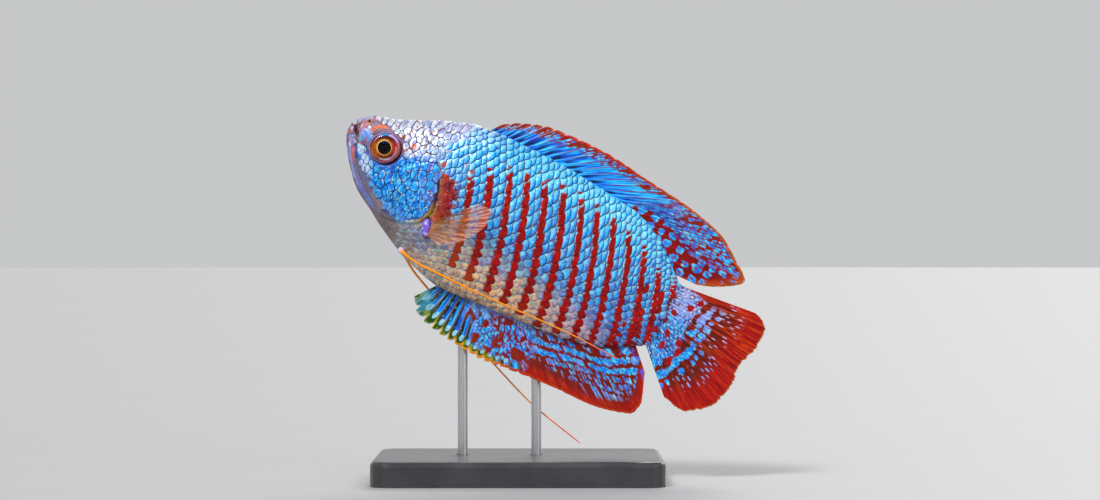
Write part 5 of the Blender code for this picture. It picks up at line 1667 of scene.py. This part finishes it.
def white_paint(radius, right, top, angle):
    """The zone between the iris and the rim, lilac above and pink below, with its highlights."""
    # Lilac towards the top: the zone's own fleshy lilac, brightened by a painted reflection of the light on the cornea
    tone = mix(rgb(150, 80, 120), rgb(196, 172, 236), smooth(-0.1, 0.6, top + 0.4 * right))
    tone = mix(tone, rgb(206, 112, 128), smooth(0.2, 0.8, right - top))
    tone = mix(tone, rgb(236, 140, 104), 0.8 * smooth(0.75, 1.0, right) * smooth(0.3, -0.1, top))
    # A painted blue glint at the top
    tone = mix(tone, rgb(40, 140, 215), smooth(0.93, 0.985, top) * smooth(2.45, 2.3, radius))
    tone = mix(tone, rgb(190, 100, 10), 0.9 * smooth(-0.5, -0.9, right) * smooth(2.42, 2.3, radius))
    tone = mix(tone, rgb(60, 20, 60), 0.8 * smooth(-0.4, -0.8, top) * smooth(2.2, 2.32, radius))
    glint = smooth(0.55, 0.9, -right * 0.75 - top * 0.66) * np.exp(-(((radius - 2.36) / 0.05) ** 2))
    return mix(tone, rgb(200, 210, 250), glint)


def eyes(iris, wet, cornea):
    """Both eyes: black lens in a gold ring, amber iris, fleshy zone, dark rim and clear cornea."""
    outer = EYE_W + EYE_DEPTH
    for side, word in ((-1, "left"), (1, "right")):
        bottom = outer - 1.1
        centre = (-0.25, 0.05)
        radii = np.linspace(0.9, 2.16, 26)
        cup = [(r, outer - 0.36 - 0.10 * (r - 0.9) - 0.05 * math.exp(-(((r - 1.6) / 0.25) ** 2))) for r in radii]
        profile = [(0.01, bottom)] + [(2.16, bottom)] + cup[::-1] + [(0.01, outer - 0.36)]
        eye_piece("eye_iris_" + word, side, profile, iris_paint, iris, ("eye_" + word,), centre)
        radii = np.linspace(PUPIL, 0.01, 14)
        lens = [(r, outer - 0.30 + 0.20 * math.sqrt(max(1 - (r / PUPIL) ** 2, 0))) for r in radii]
        profile = [(0.01, outer - 0.5), (PUPIL, outer - 0.5)] + lens
        # Black lens, with a painted blue reflection at its top
        eye_piece(
            "eye_lens_" + word, side, profile,
            lambda r, right, top, a: mix(BLACK * 0.4, rgb(8, 22, 90), smooth(0.55, 0.95, r) * smooth(0.8, 1.0, top)),
            wet, (), centre,
        )
        ring = [
            (PUPIL + 0.06 + 0.06 * math.cos(a), outer - 0.30 + 0.06 * math.sin(a))
            for a in np.linspace(0, 2 * math.pi, 13)
        ]
        ring[-1] = ring[0]
        eye_piece(
            "eye_gold_" + word, side, ring,
            lambda r, right, top, a: mix(rgb(252, 216, 120), rgb(240, 150, 90), smooth(0.2, -0.9, top)),
            wet, (), centre,
        )
        radii = np.linspace(1.98, 2.52, 16)
        zone = [(r, outer - 0.47 - 0.42 * ((r - 1.98) / 0.54) ** 2 + 0.10 * math.exp(-(((r - 2.15) / 0.12) ** 2))) for r in radii]
        profile = [(1.98, bottom), (2.52, bottom)] + zone[::-1]
        profile = profile + [profile[0]]
        eye_piece("eye_white_" + word, side, profile, white_paint, iris, (), (-0.08, 0.02), 0.98)
        rim = [(2.55 + 0.15 * math.cos(a), outer - 0.86 + 0.16 * math.sin(a)) for a in np.linspace(0, 2 * math.pi, 17)]
        rim[-1] = rim[0]
        eye_piece(
            "eye_rim_" + word, side, rim,
            lambda r, right, top, a: mix(rgb(92, 30, 44), rgb(200, 176, 226), smooth(2.58, 2.66, r)),
            wet,
        )
        radii = np.linspace(2.5, 0.01, 26)
        dome = [(r, outer - 0.80 + 0.80 * math.sqrt(max(1 - (r / 2.62) ** 2, 0))) for r in radii]
        shell = [(max(r - 0.02, 0.005), z - 0.05) for r, z in dome[::-1]]
        profile = shell + dome
        profile = profile + [profile[0]]
        eye_piece("eye_cornea_" + word, side, profile, lambda r, right, top, a: mix(WHITE, WHITE, r), cornea)


def eye_looks():
    look = Look("iris", Metallic=0.2, Coat_Weight=0.2, Coat_Roughness=0.08, Roughness=0.3, Specular_IOR_Level=0.2)
    fibres = look.noise(1.0, look.stretch(look.attribute("ray"), (2.2, 0.7, 1.0)))
    shade = look.ramp(fibres, 0.3, 0.7, 0.7, 1.3)
    colour = look.mix(
        1.0, look.attribute("tint", "Color"), look.add("CombineColor", {0: shade, 1: shade, 2: shade}), "MULTIPLY"
    )
    iris = look.feed(Base_Color=colour, Normal=look.bump(fibres, 0.00004, 0.6))
    look = Look("eye_wet", Coat_Weight=0.0, Roughness=0.15, Specular_IOR_Level=0.05)
    colour = varied(look, 0.0002, 0.9, 1.1)
    wet = look.feed(Base_Color=colour, Roughness=look.ramp(look.noise(0.0003), 0.3, 0.7, 0.1, 0.22))
    look = Look("cornea", Roughness=0.03)
    clear = look.add("BsdfTransparent")
    gloss = look.add("BsdfGlossy", {"Roughness": look.ramp(look.noise(0.0005), 0.3, 0.7, 0.02, 0.06)})
    film = look.add("MixShader", {0: look.add("Fresnel", {"IOR": 1.16}), 1: clear, 2: gloss})
    output = look.tree.nodes["Material Output"]
    look.tree.links.new(film, output.inputs["Surface"])
    look.tree.nodes.remove(look.shader)
    return iris, wet, look.material


def stand_looks():
    """Satin black acrylic with faint scratches, and steel brushed along the rods."""
    acrylic = Look("acrylic", Specular_IOR_Level=0.5, Coat_Weight=0.25, Coat_Roughness=0.2)
    cloud = acrylic.noise(0.006)
    scratch = acrylic.noise(1.0, acrylic.stretch(acrylic.place(), (250.0, 5200.0, 900.0)))
    colour = acrylic.mix(acrylic.ramp(cloud, 0.35, 0.65), (0.022, 0.022, 0.026, 1), (0.034, 0.034, 0.038, 1))
    rough = acrylic.ramp(acrylic.math("ADD", cloud, scratch), 0.7, 1.3, 0.24, 0.42)
    acrylic.feed(Base_Color=colour, Roughness=rough, Normal=acrylic.bump(scratch, 0.00001, 0.3))
    steel = Look("steel", Metallic=1.0)
    brushed = steel.noise(1.0, steel.stretch(steel.place(), (9000.0, 9000.0, 350.0)))
    colour = steel.mix(steel.ramp(brushed, 0.3, 0.7), (0.50, 0.50, 0.52, 1), (0.60, 0.60, 0.62, 1))
    rough = steel.ramp(brushed, 0.3, 0.7, 0.2, 0.4)
    steel.feed(Base_Color=colour, Roughness=rough, Normal=steel.bump(brushed, 0.00001, 0.4))
    return acrylic.material, steel.material


def stand():
    """The stand keeps its solids' shape, with a finish of its own."""
    acrylic, steel = stand_looks()
    for name, look in (("stand_base", acrylic), ("stand_rod_front", steel), ("stand_rod_rear", steel)):
        for slot in bpy.data.objects[name].material_slots:
            slot.link = "OBJECT"
            slot.material = look


def floor():
    """A plain pale floor."""
    mesh = bpy.data.meshes.new("floor")
    count, radius = 96, 6.0
    ring = [(radius * math.cos(2 * math.pi * k / count), radius * math.sin(2 * math.pi * k / count), 0) for k in range(count)]
    mesh.from_pydata(ring, [], [tuple(range(count))])
    look = Look("floor", Roughness=0.6)
    shade = look.ramp(look.noise(0.03), 0.3, 0.7, 0.385, 0.392)
    look.feed(Base_Color=look.add("CombineColor", {0: shade, 1: shade, 2: look.math("MULTIPLY", shade, 1.01)}))
    mesh.materials.append(look.material)
    obj = bpy.data.objects.new("floor", mesh)
    bpy.context.scene.collection.objects.link(obj)


def sun(name, place, power, spread, colour=(1.0, 1.0, 1.0)):
    """A soft far light: spread is its width in degrees."""
    light = bpy.data.lights.new(name, "SUN")
    light.energy = power
    light.angle = math.radians(spread)
    light.color = colour
    obj = bpy.data.objects.new(name, light)
    obj.location = place
    obj.rotation_euler = Vector(place).to_track_quat("Z", "Y").to_euler()
    bpy.context.scene.collection.objects.link(obj)


def studio():
    """Soft light from the upper left, a weaker fill, one light behind and a pale surround."""
    sun("key", (-0.30, -0.55, 0.72), 2.5, 16)
    sun("fill", (0.60, -0.60, 0.25), 0.35, 40)
    sun("back", (0.25, 0.70, 0.50), 1.2, 30)
    world = bpy.data.worlds.new("studio")
    world.use_nodes = True
    back = world.node_tree.nodes["Background"]
    back.inputs["Color"].default_value = (0.98, 0.99, 1.0, 1)
    back.inputs["Strength"].default_value = 0.58
    bpy.context.scene.world = world
    bpy.context.scene.view_settings.view_transform = "Standard"


def camera():
    """Level with the fish, square to its left side."""
    lens = bpy.data.cameras.new("camera")
    lens.lens = 100
    lens.sensor_width = 36
    obj = bpy.data.objects.new("camera", lens)
    obj.location = (-0.0010, -0.489, 0.0368)
    obj.rotation_euler = (math.radians(90), 0, 0)
    bpy.context.scene.collection.objects.link(obj)
    bpy.context.scene.camera = obj


def main():
    camera()
    studio()
    floor()
    stand()
    scales = scale_look()
    bare = skin_look()
    skin(bare)
    for side in (-1, 1):
        flank_coat(side, scales)
        mosaic_coat(side, scales)
    look, feeds = fin_look("fin_membrane")
    membrane = look.feed(**feeds)
    look, feeds = fin_look("fin_clear")
    clear = look.feed(Alpha=look.attribute("cover", "Fac"), **feeds)
    fins(membrane, clear)
    pectoral_pads(bare)
    look, feeds = fin_look("feeler_thread")
    feelers(look.feed(**feeds))
    eyes(*eye_looks())


main()
